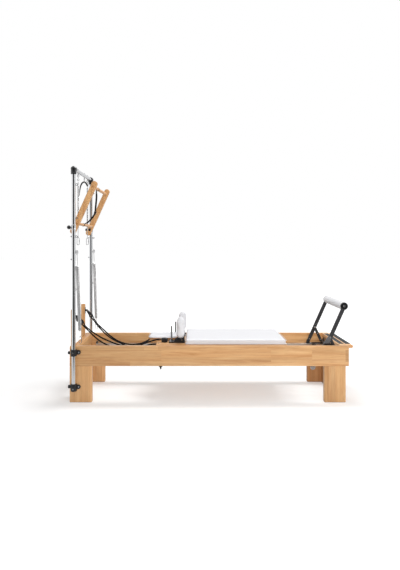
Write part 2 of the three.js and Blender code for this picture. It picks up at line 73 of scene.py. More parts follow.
# ------------------------------------------------------------------ node materials
class Nodes:
    """A short way to write a node material."""

    def __init__(self, name):
        self.mat = bpy.data.materials.new(name)
        self.mat.use_nodes = True
        self.tree = self.mat.node_tree
        self.tree.nodes.clear()
        self.out = self.new("ShaderNodeOutputMaterial")
        self.bsdf = self.new("ShaderNodeBsdfPrincipled")
        self.link(self.bsdf.outputs[0], self.out.inputs["Surface"])
        self.coord = self.new("ShaderNodeTexCoord").outputs["Object"]

    def new(self, kind, **props):
        n = self.tree.nodes.new(kind)
        for k, v in props.items():
            setattr(n, k, v)
        return n

    def link(self, a, b):
        self.tree.links.new(a, b)

    def put(self, node, **inputs):
        for k, v in inputs.items():
            socket = node.inputs[k.replace("_", " ")]
            if isinstance(v, bpy.types.NodeSocket):
                self.link(v, socket)
            else:
                socket.default_value = v
        return node

    def scaled(self, scale, shift=None, rotation=(0, 0, 0), source=None):
        m = self.new("ShaderNodeMapping")
        m.inputs["Scale"].default_value = scale
        m.inputs["Rotation"].default_value = rotation
        self.link(source or self.coord, m.inputs["Vector"])
        if shift is not None:
            if isinstance(shift, bpy.types.NodeSocket):
                self.link(shift, m.inputs["Location"])
            else:
                m.inputs["Location"].default_value = shift
        return m.outputs[0]

    def noise(self, vector, scale, detail=4, roughness=0.55, distortion=0.0):
        n = self.new("ShaderNodeTexNoise")
        self.put(n, Vector=vector, Scale=scale, Detail=detail, Roughness=roughness, Distortion=distortion)
        return n.outputs["Fac"]

    def voronoi(self, vector, scale, feature="F1", randomness=1.0):
        n = self.new("ShaderNodeTexVoronoi", feature=feature)
        self.put(n, Vector=vector, Scale=scale, Randomness=randomness)
        return n.outputs["Distance"]

    def wave(self, vector, scale, distortion=0.0, detail=2.0, direction="X", profile="SIN", detail_scale=1.0):
        n = self.new("ShaderNodeTexWave", wave_type="BANDS", bands_direction=direction, wave_profile=profile)
        self.put(n, Vector=vector, Scale=scale, Distortion=distortion, Detail=detail, Detail_Scale=detail_scale)
        return n.outputs["Fac"]

    def ramp(self, fac, stops, interpolation="LINEAR"):
        n = self.new("ShaderNodeValToRGB")
        r = n.color_ramp
        r.interpolation = interpolation
        while len(r.elements) < len(stops):
            r.elements.new(0.5)
        for e, (at, colour) in zip(r.elements, stops):
            e.position = at
            c = colour if hasattr(colour, "__len__") else (colour,) * 3
            e.color = (*c, 1)
        self.link(fac, n.inputs[0])
        return n.outputs[0]

    def math(self, op, a, b=0.0, clamp=False):
        n = self.new("ShaderNodeMath", operation=op, use_clamp=clamp)
        for i, v in enumerate((a, b)):
            if isinstance(v, bpy.types.NodeSocket):
                self.link(v, n.inputs[i])
            else:
                n.inputs[i].default_value = v
        return n.outputs[0]

    def between(self, value, low, high, to_low=0.0, to_high=1.0):
        n = self.new("ShaderNodeMapRange")
        self.link(value, n.inputs["Value"])
        n.inputs["From Min"].default_value = low
        n.inputs["From Max"].default_value = high
        n.inputs["To Min"].default_value = to_low
        n.inputs["To Max"].default_value = to_high
        return n.outputs[0]

    def mix(self, fac, a, b, kind="MIX"):
        n = self.new("ShaderNodeMix", data_type="RGBA", blend_type=kind)
        for socket, v in ((n.inputs[0], fac), (n.inputs[6], a), (n.inputs[7], b)):
            if isinstance(v, bpy.types.NodeSocket):
                self.link(v, socket)
            elif socket == n.inputs[0]:
                socket.default_value = v
            else:
                socket.default_value = (*v, 1)
        return n.outputs[2]

    def xyz(self, vector=None):
        n = self.new("ShaderNodeSeparateXYZ")
        self.link(vector or self.coord, n.inputs[0])
        return n.outputs

    def join3(self, x, y, z):
        n = self.new("ShaderNodeCombineXYZ")
        for i, v in enumerate((x, y, z)):
            if isinstance(v, bpy.types.NodeSocket):
                self.link(v, n.inputs[i])
            else:
                n.inputs[i].default_value = v
        return n.outputs[0]

    def bump(self, height, strength, distance, after=None):
        n = self.new("ShaderNodeBump")
        n.inputs["Strength"].default_value = strength
        n.inputs["Distance"].default_value = distance
        self.link(height, n.inputs["Height"])
        if after is not None:
            self.link(after, n.inputs["Normal"])
        return n.outputs[0]

    def finish(self, colour, roughness, normal=None, **fixed):
        for name, v in (("Base Color", colour), ("Roughness", roughness)):
            socket = self.bsdf.inputs[name]
            if isinstance(v, bpy.types.NodeSocket):
                self.link(v, socket)
            else:
                socket.default_value = (*v, 1) if hasattr(v, "__len__") else v
        if normal is not None:
            self.link(normal, self.bsdf.inputs["Normal"])
        for k, v in fixed.items():
            self.bsdf.inputs[k.replace("_", " ")].default_value = v
        return self.mat


def srgb(r, g, b):
    """Linear colour of an sRGB one given from 0 to 255."""
    return tuple(c / 12.92 if c <= 0.04045 else ((c + 0.055) / 1.055) ** 2.4 for c in (r / 255, g / 255, b / 255))


def wood(name, grain, strips=None, tone=(1.0, 1.0, 1.0), rough=0.42, seed=0.0, staves=()):
    """Oiled hardwood. grain is the axis the fibres run along. strips is (axis, [(from mm, value), ...]):
    boards glued side by side, each with its own figure and tone. staves are shorter boards let into
    them: (from X, to X, from Z, to Z, value) and, if its tone stands out, a gain on its colour. Where
    a part's boards are made paler or darker to look lit or shaded, the values and gains are painted
    light and shade."""
    n = Nodes(name)
    axes = {"X": 0, "Y": 1, "Z": 2}
    along = axes[grain]
    shift = None
    value = None
    if strips:
        axis, cuts = strips
        low = cuts[0][0]
        high = cuts[-1][0]
        comp = n.xyz()[axes[axis]]
        origin = X0 if axis == "X" else 0.0
        t = n.between(comp, (low - origin) / 1000, (high - origin) / 1000)
        value = n.ramp(t, [((at - low) / (high - low), v) for at, v in cuts[:-1]], "CONSTANT")
        gain = (1.0, 1.0, 1.0)
        for x0, x1, z0, z1, v, *g in staves:
            px, _, pz = n.xyz()
            inside = n.math("MULTIPLY", n.math("GREATER_THAN", px, (x0 - X0) / 1000), n.math("LESS_THAN", px, (x1 - X0) / 1000))
            inside = n.math("MULTIPLY", inside, n.math("MULTIPLY", n.math("GREATER_THAN", pz, z0 / 1000), n.math("LESS_THAN", pz, z1 / 1000)))
            value = n.mix(inside, value, (v, v, v))
            if g:
                gain = n.mix(inside, gain, (g[0], g[0] * 0.985, g[0] * 0.97))
        shift = n.join3(n.math("MULTIPLY", value, 3.7), n.math("MULTIPLY", value, 5.3), n.math("MULTIPLY", value, 2.9))
    base = n.scaled((1, 1, 1), shift=shift) if shift is not None else n.scaled((1, 1, 1), shift=(seed, seed * 0.7, seed * 1.3))
    fine = [30.0] * 3
    fine[along] = 1.6
    broad = [7.0] * 3
    broad[along] = 0.55
    pores = [330.0] * 3
    pores[along] = 11.0
    figure = n.noise(n.scaled(tuple(fine), source=base), 1.0, 6, 0.62, 0.9)
    clouds = n.noise(n.scaled(tuple(broad), source=base), 1.0, 3, 0.5, 1.3)
    rings_at = [26.0] * 3
    rings_at[along] = 1.1
    rings = n.wave(n.scaled(tuple(rings_at), source=base), 1.0, 5.5, 3, {0: "Y", 1: "Z", 2: "X"}[along], "SIN", 0.8)
    pore = n.noise(n.scaled(tuple(pores), source=base), 1.0, 3, 0.6)
    dark = srgb(168, 104, 56)
    mid = srgb(199, 142, 92)
    honey = srgb(208, 155, 105)
    pale = srgb(219, 172, 124)
    body = n.ramp(figure, [(0.30, dark), (0.44, mid), (0.56, honey), (0.74, pale)])
    band = n.ramp(rings, [(0.0, srgb(183, 121, 70)), (0.28, srgb(203, 147, 97)), (0.75, srgb(214, 164, 115)), (1.0, srgb(205, 150, 100))])
    colour = n.mix(0.45, body, band)
    wide = n.ramp(clouds, [(0.32, (0.86, 0.84, 0.82)), (0.52, (1.0, 1.0, 1.0)), (0.72, (1.08, 1.08, 1.07))])
    colour = n.mix(1.0, colour, wide, "MULTIPLY")
    flecks = n.ramp(pore, [(0.34, (0.80, 0.74, 0.68)), (0.46, (1, 1, 1))])
    colour = n.mix(0.8, colour, flecks, "MULTIPLY")
    if value is not None:
        # value 0 to 1 is the board: its tone goes from warmer to paler, which on some parts is painted light and shade
        boards = n.ramp(value, [(0.0, (0.93, 0.88, 0.82)), (0.5, (1.0, 0.985, 0.965)), (1.0, (1.07, 1.08, 1.10))])
        colour = n.mix(1.0, colour, boards, "MULTIPLY")
        if isinstance(gain, bpy.types.NodeSocket):
            colour = n.mix(1.0, colour, gain, "MULTIPLY")
    colour = n.mix(1.0, colour, tuple(a * b for a, b in zip(tone, (0.985, 1.135, 1.24))), "MULTIPLY")
    # end grain is darker: faces that look along the fibres
    geo = n.new("ShaderNodeNewGeometry")
    turn = n.new("ShaderNodeVectorTransform", vector_type="NORMAL", convert_from="WORLD", convert_to="OBJECT")
    n.link(geo.outputs["Normal"], turn.inputs[0])
    facing = n.math("ABSOLUTE", n.xyz(turn.outputs[0])[along])
    end = n.ramp(facing, [(0.6, 0.0), (0.9, 1.0)])
    dots = n.noise(n.scaled((420, 420, 420), source=base), 1.0, 2, 0.6)
    end_tone = n.ramp(dots, [(0.35, (0.62, 0.52, 0.43)), (0.6, (0.84, 0.77, 0.70))])
    colour = n.mix(end, colour, n.mix(1.0, colour, end_tone, "MULTIPLY"))
    height = n.mix(0.5, pore, figure)
    rough_map = n.between(figure, 0.3, 0.75, rough + 0.07, rough - 0.04)
    return n.finish(colour, rough_map, n.bump(height, 0.16, 0.0006), Coat_Weight=0.12, Coat_Roughness=0.28, Specular_IOR_Level=0.42)


def chrome(name, tint=(0.80, 0.81, 0.82), rough=0.10, brushed=None):
    n = Nodes(name)
    smudge = n.noise(n.scaled((9, 9, 5)), 1.0, 4, 0.6)
    scratch = n.noise(n.scaled(brushed or (900, 900, 14)), 1.0, 2, 0.5)
    colour = n.ramp(smudge, [(0.3, tuple(0.92 * c for c in tint)), (0.65, tint)])
    r = n.math("ADD", n.between(smudge, 0.3, 0.7, rough, rough + 0.07), n.between(scratch, 0.3, 0.7, 0.0, 0.05))
    return n.finish(colour, r, n.bump(scratch, 0.05, 0.0002), Metallic=1.0)


def powder(name, colour, rough=0.46, metal=0.0, grain=900.0, wear=None):
    """Powder coat or moulded plastic: fine orange peel with slightly paler rubbed spots."""
    n = Nodes(name)
    peel = n.noise(n.scaled((grain,) * 3), 1.0, 3, 0.6)
    cloud = n.noise(n.scaled((14, 14, 14)), 1.0, 4, 0.6)
    c = n.ramp(cloud, [(0.3, tuple(0.82 * v for v in colour)), (0.55, colour), (0.8, tuple(min(1, 1.25 * v + 0.004) for v in colour))])
    if wear:
        rub = n.noise(n.scaled((70, 70, 70)), 1.0, 5, 0.7)
        c = n.mix(n.ramp(rub, [(0.66, 0.0), (0.78, 0.35)]), c, wear)
    r = n.between(cloud, 0.3, 0.7, rough + 0.06, rough - 0.05)
    return n.finish(c, r, n.bump(peel, 0.22, 0.00025), Metallic=metal, Specular_IOR_Level=0.5)


def vinyl(name, colour, rough=0.46):
    """Upholstery vinyl: a pebbled grain of small cells with soft creases."""
    n = Nodes(name)
    cells = n.voronoi(n.scaled((1, 1, 1)), 620.0)
    crease = n.noise(n.scaled((24, 24, 24)), 1.0, 5, 0.6, 0.6)
    cloud = n.noise(n.scaled((6, 6, 6)), 1.0, 3, 0.5)
    c = n.ramp(cloud, [(0.3, tuple(0.965 * v for v in colour)), (0.7, colour)])
    c = n.mix(n.ramp(cells, [(0.0, 0.0), (0.55, 0.0), (0.9, 0.10)]), c, tuple(0.80 * v for v in colour))
    r = n.between(crease, 0.3, 0.7, rough - 0.04, rough + 0.08)
    normal = n.bump(cells, 0.30, 0.00022)
    normal = n.bump(crease, 0.25, 0.0012, normal)
    return n.finish(c, r, normal, Specular_IOR_Level=0.45, Sheen_Weight=0.05, Sheen_Roughness=0.5)


def webbing(name, colour, across, along):
    """Woven strap: ribs across its width under a herringbone of fine threads. across and along are axes."""
    n = Nodes(name)
    ribs = n.wave(n.scaled((1, 1, 1)), 330.0, 0.4, 1, along)
    threads = n.wave(n.scaled((1, 1, 1)), 420.0, 0.6, 1, across)
    weave = n.mix(0.5, ribs, threads)
    fuzz = n.noise(n.scaled((700, 700, 700)), 1.0, 2, 0.6)
    c = n.ramp(weave, [(0.2, tuple(0.5 * v for v in colour)), (0.7, colour), (1.0, tuple(1.9 * v + 0.006 for v in colour))])
    c = n.mix(n.ramp(fuzz, [(0.62, 0.0), (0.75, 0.4)]), c, tuple(2.6 * v + 0.02 for v in colour))
    return n.finish(c, 0.82, n.bump(weave, 0.6, 0.0005), Sheen_Weight=0.25, Sheen_Roughness=0.4)


def cordage(name, colour):
    """Braided polyester rope: strands with a light fuzz. The braid itself is in the mesh."""
    n = Nodes(name)
    strands = n.noise(n.scaled((900, 900, 900)), 1.0, 3, 0.7)
    worn = n.noise(n.scaled((22, 22, 22)), 1.0, 4, 0.6)
    c = n.ramp(strands, [(0.3, tuple(0.45 * v for v in colour)), (0.55, colour), (0.8, tuple(2.0 * v + 0.004 for v in colour))])
    c = n.mix(n.ramp(worn, [(0.6, 0.0), (0.8, 0.3)]), c, tuple(2.0 * v + 0.008 for v in colour))
    return n.finish(c, n.between(worn, 0.3, 0.7, 0.72, 0.88), n.bump(strands, 0.5, 0.0004), Sheen_Weight=0.06, Sheen_Roughness=0.5, Specular_IOR_Level=0.2)


def ribbed_rubber(name, colour):
    n = Nodes(name)
    grain = n.noise(n.scaled((600, 600, 600)), 1.0, 3, 0.65)
    dust = n.noise(n.scaled((30, 8, 30)), 1.0, 5, 0.65)
    c = n.ramp(grain, [(0.35, tuple(0.7 * v for v in colour)), (0.65, tuple(1.25 * v for v in colour))])
    c = n.mix(n.ramp(dust, [(0.5, 0.0), (0.8, 0.35)]), c, tuple(2.2 * v for v in colour))
    return n.finish(c, 0.7, n.bump(grain, 0.4, 0.0004))


WOOD_X = wood("wood_along_bed", "X", ("Z", [(312, 0.86), (349.5, 0.30), (386, 0.62), (449.5, 0.5), (484, 0.5)]), staves=[
    (-10, 789, 349.5, 386, 0.24, 0.95), (-10, 789, 386, 449.5, 0.34, 0.94), (-10, 520, 312, 349.5, 0.66, 0.95), (-10, 640, 449.5, 484, 0.38, 0.96),
    (1733, 2086, 386, 449.5, 0.52), (1733, 2086, 349.5, 386, 0.40), (2086, 2410, 386, 449.5, 0.12), (2086, 2410, 349.5, 386, 0.92), (760, 1700, 449.5, 484, 0.66),
    (1700, 2410, 449.5, 484, 0.80), (2374, 2410, 349.5, 449.5, 0.06, 0.80)])
# On the far rail, the boards from X 1500 to the foot end carry gains of 1.22 and 1.12. This is painted light, so that
# this end looks as brightly lit as the near rail.
WOOD_X_FAR = wood("wood_along_bed_far", "X", ("Z", [(312, 0.8), (349.5, 0.5), (449.5, 0.9), (484, 0.9)]), staves=[
    (-10, 820, 349.5, 449.5, 0.66), (1500, 2410, 349.5, 449.5, 0.62, 1.22), (1500, 2410, 449.5, 484, 0.9, 1.12)])
WOOD_Y = wood("wood_across_bed", "Y", ("Z", [(312, 0.9), (349.5, 0.4), (449.5, 0.8), (484, 0.8)]))
WOOD_LEG_HEAD = wood("wood_leg_head", "Z", ("X", [(-5, 0.75), (45, 0.45), (108, 0.62), (160, 0.85), (200, 0.85)]))
WOOD_LEG_FOOT = wood("wood_leg_foot", "Z", ("X", [(2180, 0.55), (2232, 0.7), (2290, 0.42), (2351, 0.95), (2380, 0.95)]))
# painted light: the far head leg is the near one's wood made paler, so that it looks more brightly lit
WOOD_LEG_HEAD_FAR_LIT = wood("wood_leg_head_far_painted_light", "Z", ("X", [(-5, 0.75), (45, 0.45), (108, 0.62), (160, 0.85), (200, 0.85)]), tone=(1.12, 1.10, 1.08))
# painted shade: the far foot leg is the same wood made darker, with its boards darker towards the foot end, for the
# shade that falls on it
WOOD_LEG_FOOT_FAR_SHADED = wood("wood_leg_foot_far_painted_shade", "Z", ("X", [(2180, 0.75), (2232, 0.5), (2290, 0.2), (2351, 0.1), (2380, 0.1)]), tone=(0.74, 0.61, 0.50))
WOOD_POST = wood("wood_post", "Z", seed=2.3, tone=(0.97, 0.95, 0.93))
WOOD_ARM = wood("wood_bar_arm", "Z", seed=5.1, tone=(0.98, 0.94, 0.89))
WOOD_DOWEL = wood("wood_dowel", "Y", seed=8.7, tone=(1.08, 1.05, 1.02))
WOOD_PLATFORM = wood("wood_platform", "Y", ("X", [(2325, 0.9), (2394, 0.7), (2455, 0.7)]), tone=(1.42, 1.54, 1.80))
WOOD_DECK = wood("wood_deck", "X", ("Y", [(-300, 0.8), (-150, 0.95), (0, 0.75), (150, 0.9), (300, 0.9)]), tone=(1.04, 1.03, 1.02))
PLY = wood("plywood", "X", seed=3.3, tone=(0.62, 0.55, 0.50), rough=0.55)
CHROME = chrome("chrome_tube")
STEEL = chrome("bright_steel", (0.70, 0.71, 0.72), 0.2, (600, 600, 600))
SPRING = chrome("spring_wire", (0.80, 0.80, 0.80), 0.26, (800, 800, 800))
LINK_STEEL = chrome("dull_steel", (0.36, 0.36, 0.37), 0.34, (700, 700, 700))
ALUMINIUM = chrome("anodised_aluminium", (0.72, 0.73, 0.73), 0.30, (10, 900, 900))
BLACK = powder("black_powder_coat", srgb(30, 31, 33), 0.42)
PLASTIC = powder("black_moulded_plastic", srgb(22, 23, 25), 0.28, grain=1400.0)
for shader in [q for q in PLASTIC.node_tree.nodes if q.type == "BSDF_PRINCIPLED"]:
    shader.inputs["Coat Weight"].default_value = 0.7
    shader.inputs["Coat Roughness"].default_value = 0.14
GRAPHITE = powder("graphite_powder_coat", srgb(52, 52, 54), 0.44, wear=srgb(110, 110, 110))
GUSSET = powder("grey_powder_coat", srgb(92, 92, 94), 0.42, wear=srgb(140, 140, 140))
GREY_RUBBER = powder("grey_rubber_sleeve", srgb(118, 119, 120), 0.6, grain=700.0)
TYRE = powder("wheel_polyurethane", srgb(52, 52, 54), 0.38)
VINYL = vinyl("white_vinyl", srgb(216, 216, 219))
VINYL_ROLL = vinyl("white_vinyl_roll", srgb(214, 214, 216))
WEB = webbing("black_webbing", srgb(11, 11, 12), "Y", "Z")
WEB_ROLL = webbing("black_webbing_roll", srgb(26, 26, 28), "Z", "X")
ROPE = cordage("black_rope", srgb(4, 4, 5))
RUBBER = ribbed_rubber("grip_rubber", srgb(74, 76, 78))
FELT = powder("leg_pad", srgb(70, 60, 52), 0.8, grain=500.0)
THREAD = powder("pale_thread", srgb(214, 214, 218), 0.7, grain=1500.0)
THREAD_DARK = powder("grey_thread", srgb(84, 84, 88), 0.8, grain=1500.0)


# ------------------------------------------------------------------ shapes, in millimetres
def from_bm(bm):
    bm.verts.index_update()
    out = [tuple(v.co) for v in bm.verts], [[v.index for v in f.verts] for f in bm.faces]
    bm.free()
    return out


def rbox(x0, x1, y0, y1, z0, z1, r=2.0, seg=3):
    bm = bmesh.new()
    bmesh.ops.create_cube(bm, size=1)
    for v in bm.verts:
        v.co = Vector((x0 if v.co.x < 0 else x1, y0 if v.co.y < 0 else y1, z0 if v.co.z < 0 else z1))
    bmesh.ops.bevel(bm, geom=bm.edges[:], offset=r, offset_type="OFFSET", segments=seg, profile=0.5, affect="EDGES", clamp_overlap=True)
    bmesh.ops.recalc_face_normals(bm, faces=bm.faces)
    return from_bm(bm)


def rounded(points, r, seg=4):
    """An outline with each corner rounded. r is one radius, or one for each corner."""
    out = []
    n = len(points)
    for i, p in enumerate(points):
        ri = r[i] if hasattr(r, "__len__") else r
        a, b = Vector(points[i - 1]), Vector(points[(i + 1) % n])
        p = Vector(p)
        u, w = (a - p), (b - p)
        if ri <= 0 or u.length < 1e-6 or w.length < 1e-6:
            out.append(tuple(p))
            continue
        lu, lw = u.length, w.length
        u.normalize(), w.normalize()
        half = math.acos(max(-1, min(1, u.dot(w)))) / 2
        if half > math.radians(88):
            out.append(tuple(p))
            continue
        d = min(ri / math.tan(half), 0.48 * lu, 0.48 * lw)
        rad = d * math.tan(half)
        centre = p + (u + w).normalized() * (rad / math.sin(half))
        s, e = p + u * d - centre, p + w * d - centre
        a0 = math.atan2(s.y, s.x)
        turn = math.atan2(s.x * e.y - s.y * e.x, s.dot(e))
        for k in range(seg + 1):
            t = a0 + turn * k / seg
            out.append((centre.x + rad * math.cos(t), centre.y + rad * math.sin(t)))
    return out


def capsule(a, ra, b, rb, sides=20):
    dx, dz = b[0] - a[0], b[1] - a[1]
    length = math.hypot(dx, dz)
    base = math.atan2(dz, dx)
    t = math.acos((ra - rb) / length)
    p = []
    for i in range(sides + 1):
        w = base + t + (2 * math.pi - 2 * t) * i / sides
        p.append((a[0] + ra * math.cos(w), a[1] + ra * math.sin(w)))
    for i in range(sides + 1):
        w = base - t + 2 * t * i / sides
        p.append((b[0] + rb * math.cos(w), b[1] + rb * math.sin(w)))
    return p


def disc(cx, cz, r, sides=40, lobes=0, depth=0.0):
    return [(cx + (r + depth * math.cos(lobes * a)) * math.cos(a), cz + (r + depth * math.cos(lobes * a)) * math.sin(a))
            for a in (2 * math.pi * i / sides for i in range(sides))]


def prism(outline, plane, a, b, rim=1.0, seg=2):
    """An outline given thickness from a to b, with its rims rounded."""
    if plane == "XZ":
        at = lambda u, w, t: Vector((u, t, w))
    elif plane == "YZ":
        at = lambda u, w, t: Vector((t, u, w))
    else:
        at = lambda u, w, t: Vector((u, w, t))
    bm = bmesh.new()
    low = [bm.verts.new(at(u, w, a)) for u, w in outline]
    high = [bm.verts.new(at(u, w, b)) for u, w in outline]
    n = len(outline)
    caps = [bm.faces.new(low), bm.faces.new(high[::-1])]
    for i in range(n):
        j = (i + 1) % n
        bm.faces.new((low[j], low[i], high[i], high[j]))
    bmesh.ops.recalc_face_normals(bm, faces=bm.faces)
    if rim > 0:
        edges = list({e for f in caps for e in f.edges})
        bmesh.ops.bevel(bm, geom=edges, offset=rim, offset_type="OFFSET", segments=seg, profile=0.5, affect="EDGES", clamp_overlap=True)
        bmesh.ops.recalc_face_normals(bm, faces=bm.faces)
    return from_bm(bm)


def basis(axis):
    n = Vector(axis).normalized()
    u = n.orthogonal().normalized()
    return u, n.cross(u), n


def lathe(profile, origin, axis, n=40, closed=False):
    """profile is (radius, distance along the axis). An open one starts and ends on the axis or is capped."""
    u, w, k = basis(axis)
    o = Vector(origin)
    verts, rings = [], []
    for r, t in profile:
        if r < 1e-6:
            rings.append([len(verts)])
            verts.append(tuple(o + k * t))
        else:
            rings.append(list(range(len(verts), len(verts) + n)))
            for i in range(n):
                a = 2 * math.pi * i / n
                verts.append(tuple(o + k * t + (u * math.cos(a) + w * math.sin(a)) * r))
    faces = []
    pairs = list(zip(rings, rings[1:])) + ([(rings[-1], rings[0])] if closed else [])
    for a, b in pairs:
        if len(a) == 1 and len(b) == 1:
            continue
        for i in range(n):
            j = (i + 1) % n
            if len(a) == 1:
                faces.append([a[0], b[j], b[i]])
            elif len(b) == 1:
                faces.append([a[i], a[j], b[0]])
            else:
                faces.append([a[i], a[j], b[j], b[i]])
    if not closed:
        if len(rings[0]) > 1:
            faces.append(rings[0][::-1])
        if len(rings[-1]) > 1:
            faces.append(rings[-1])
    return verts, faces


def rounded_profile(r, t0, t1, f, seg=4):
    """Half section of a rod from t0 to t1 with rounded ends."""
    p = [(0, t0)]
    for i in range(seg + 1):
        a = math.pi / 2 * i / seg
        p.append((r - f + f * math.sin(a), t0 + f - f * math.cos(a)))
    for i in range(seg + 1):
        a = math.pi / 2 * i / seg
        p.append((r - f + f * math.cos(a), t1 - f + f * math.sin(a)))
    p.append((0, t1))
    return p


def rod(a, b, r, fillet=0.6, n=32):
    a, b = Vector(a), Vector(b)
    return lathe(rounded_profile(r, 0, (b - a).length, min(fillet, 0.45 * r, 0.45 * (b - a).length)), a, b - a, n)


def pipe(a, b, r, bore, n=48, fillet=0.5):
    a, b = Vector(a), Vector(b)
    L = (b - a).length
    return lathe([(bore, 0), (r - fillet, 0), (r, fillet), (r, L - fillet), (r - fillet, L), (bore, L)], a, b - a, n, closed=True)


def torus(centre, axis, R, r, n=36, m=12):
    u, w, k = basis(axis)
    c = Vector(centre)
    verts, faces = [], []
    for i in range(n):
        a = 2 * math.pi * i / n
        d = u * math.cos(a) + w * math.sin(a)
        for j in range(m):
            b = 2 * math.pi * j / m
            verts.append(tuple(c + d * (R + r * math.cos(b)) + k * (r * math.sin(b))))
    for i in range(n):
        for j in range(m):
            p, q = (i + 1) % n, (j + 1) % m
            faces.append([i * m + j, p * m + j, p * m + q, i * m + q])
    return verts, faces


def ball(centre, r, n=32, m=16):
    return lathe([(r * math.sin(math.pi * i / m), -r * math.cos(math.pi * i / m)) for i in range(m + 1)], centre, (0, 0, 1), n)


def dome(centre, axis, r, h, n=24, hexagon=False):
    """A screw or bolt head that stands h proud of the surface at centre."""
    if hexagon:
        return hexhead(centre, axis, r, h)
    return lathe([(0, -0.5), (r, -0.5), (r, 0.25 * h), (0.92 * r, 0.55 * h), (0.72 * r, 0.85 * h), (0.42 * r, h), (0.36 * r, h),
                  (0.30 * r, 0.55 * h), (0, 0.55 * h)], centre, axis, n)


def hexhead(centre, axis, r, h, start=-0.5):
    u, w, k = basis(axis)
    c = Vector(centre)
    verts, faces = [], []
    levels = [(start, 1.0), (0.8 * h, 1.0), (h, 0.86)]
    for t, s in levels:
        for i in range(6):
            a = math.pi / 3 * i
            verts.append(tuple(c + k * t + (u * math.cos(a) + w * math.sin(a)) * r * s))
    for l in range(2):
        for i in range(6):
            j = (i + 1) % 6
            faces.append([l * 6 + i, l * 6 + j, l * 6 + 6 + j, l * 6 + 6 + i])
    faces.append([5, 4, 3, 2, 1, 0])
    faces.append([12, 13, 14, 15, 16, 17])
    return verts, faces


def washer(centre, axis, r, h, bore=0.0):
    return lathe([(bore, -0.3), (r, -0.3), (r, 0.6 * h), (r - 0.4 * h, h), (bore, h)], centre, axis, 32, closed=bore > 0)


def smooth_path(points, per=6):
    """Centripetal Catmull-Rom through the points."""
    P = [Vector(p) for p in points]
    P = [P[0] * 2 - P[1]] + P + [P[-1] * 2 - P[-2]]
    out = []
    for i in range(1, len(P) - 2):
        p0, p1, p2, p3 = P[i - 1:i + 3]
        t = [0.0]
        for a, b in ((p0, p1), (p1, p2), (p2, p3)):
            t.append(t[-1] + max((b - a).length, 1e-6) ** 0.5)
        for k in range(per):
            u = t[1] + (t[2] - t[1]) * k / per
            a1 = p0 * ((t[1] - u) / (t[1] - t[0])) + p1 * ((u - t[0]) / (t[1] - t[0]))
            a2 = p1 * ((t[2] - u) / (t[2] - t[1])) + p2 * ((u - t[1]) / (t[2] - t[1]))
            a3 = p2 * ((t[3] - u) / (t[3] - t[2])) + p3 * ((u - t[2]) / (t[3] - t[2]))
            b1 = a1 * ((t[2] - u) / (t[2] - t[0])) + a2 * ((u - t[0]) / (t[2] - t[0]))
            b2 = a2 * ((t[3] - u) / (t[3] - t[1])) + a3 * ((u - t[1]) / (t[3] - t[1]))
            out.append(b1 * ((t[2] - u) / (t[2] - t[1])) + b2 * ((u - t[1]) / (t[2] - t[1])))
    out.append(P[-2].copy())
    return out


def even(path, step):
    """The path again with points the same distance apart."""
    p = np.array([tuple(v) for v in path], float)
    s = np.concatenate([[0], np.cumsum(np.linalg.norm(np.diff(p, axis=0), axis=1))])
    n = max(2, int(round(s[-1] / step)) + 1)
    at = np.linspace(0, s[-1], n)
    return [Vector((np.interp(a, s, p[:, 0]), np.interp(a, s, p[:, 1]), np.interp(a, s, p[:, 2]))) for a in at]


def length_of(path):
    return sum((b - a).length for a, b in zip(path, path[1:]))


def carried(path):
    """Directions across a path that turn with it and never twist."""
    tangents = []
    for i in range(len(path)):
        d = path[min(i + 1, len(path) - 1)] - path[max(i - 1, 0)]
        tangents.append(d.normalized())
    u = tangents[0].orthogonal().normalized()
    out = []
    for i, t in enumerate(tangents):
        if i:
            q = tangents[i - 1].rotation_difference(t)
            u = (q @ u)
        u = (u - t * u.dot(t)).normalized()
        out.append((u, t.cross(u), t))
    return out


def tube(path, r, n=12, cap="round", relief=None):
    """A tube along a path. relief(distance, angle) is added to the radius."""
    path = [Vector(p) for p in path]
    axes = carried(path)
    verts, faces, ring = [], [], []
    s = 0.0
    rows = []
    for i, (p, (u, w, t)) in enumerate(zip(path, axes)):
        if i:
            s += (p - path[i - 1]).length
        rows.append((p, u, w, r, s))
    if cap == "round":
        (p, u, w, _, _), (q, uu, ww, _, _) = rows[0], rows[-1]
        t0, t1 = axes[0][2], axes[-1][2]
        head = [(p - t0 * (r * 0.5 * math.cos(a)), u, w, r * math.sin(a), 0.0) for a in (0.35, 0.8, 1.2)]
        tail = [(q + t1 * (r * 0.5 * math.cos(a)), uu, ww, r * math.sin(a), s) for a in (1.2, 0.8, 0.35)]
        rows = head + rows + tail
    for p, u, w, rr, at in rows:
        ring.append(len(verts))
        for j in range(n):
            a = 2 * math.pi * j / n
            k = rr + (relief(at, a) if relief and rr == r else 0.0)
            verts.append(tuple(p + (u * math.cos(a) + w * math.sin(a)) * k))
    for a, b in zip(ring, ring[1:]):
        for j in range(n):
            k = (j + 1) % n
            faces.append([a + j, a + k, b + k, b + j])
    faces.append([ring[0] + j for j in range(n)][::-1])
    faces.append([ring[-1] + j for j in range(n)])
    return verts, faces


def coil(a, b, R, wire, pitch, per_turn=14, sides=6):
    a, b = Vector(a), Vector(b)
    u, w, k = basis(b - a)
    L = (b - a).length
    turns = L / pitch
    n = int(turns * per_turn)
    path = []
    for i in range(n + 1):
        t = 2 * math.pi * turns * i / n
        path.append(a + k * (L * i / n) + (u * math.cos(t) + w * math.sin(t)) * (R - wire))
    return tube(path, wire, sides, cap="flat")


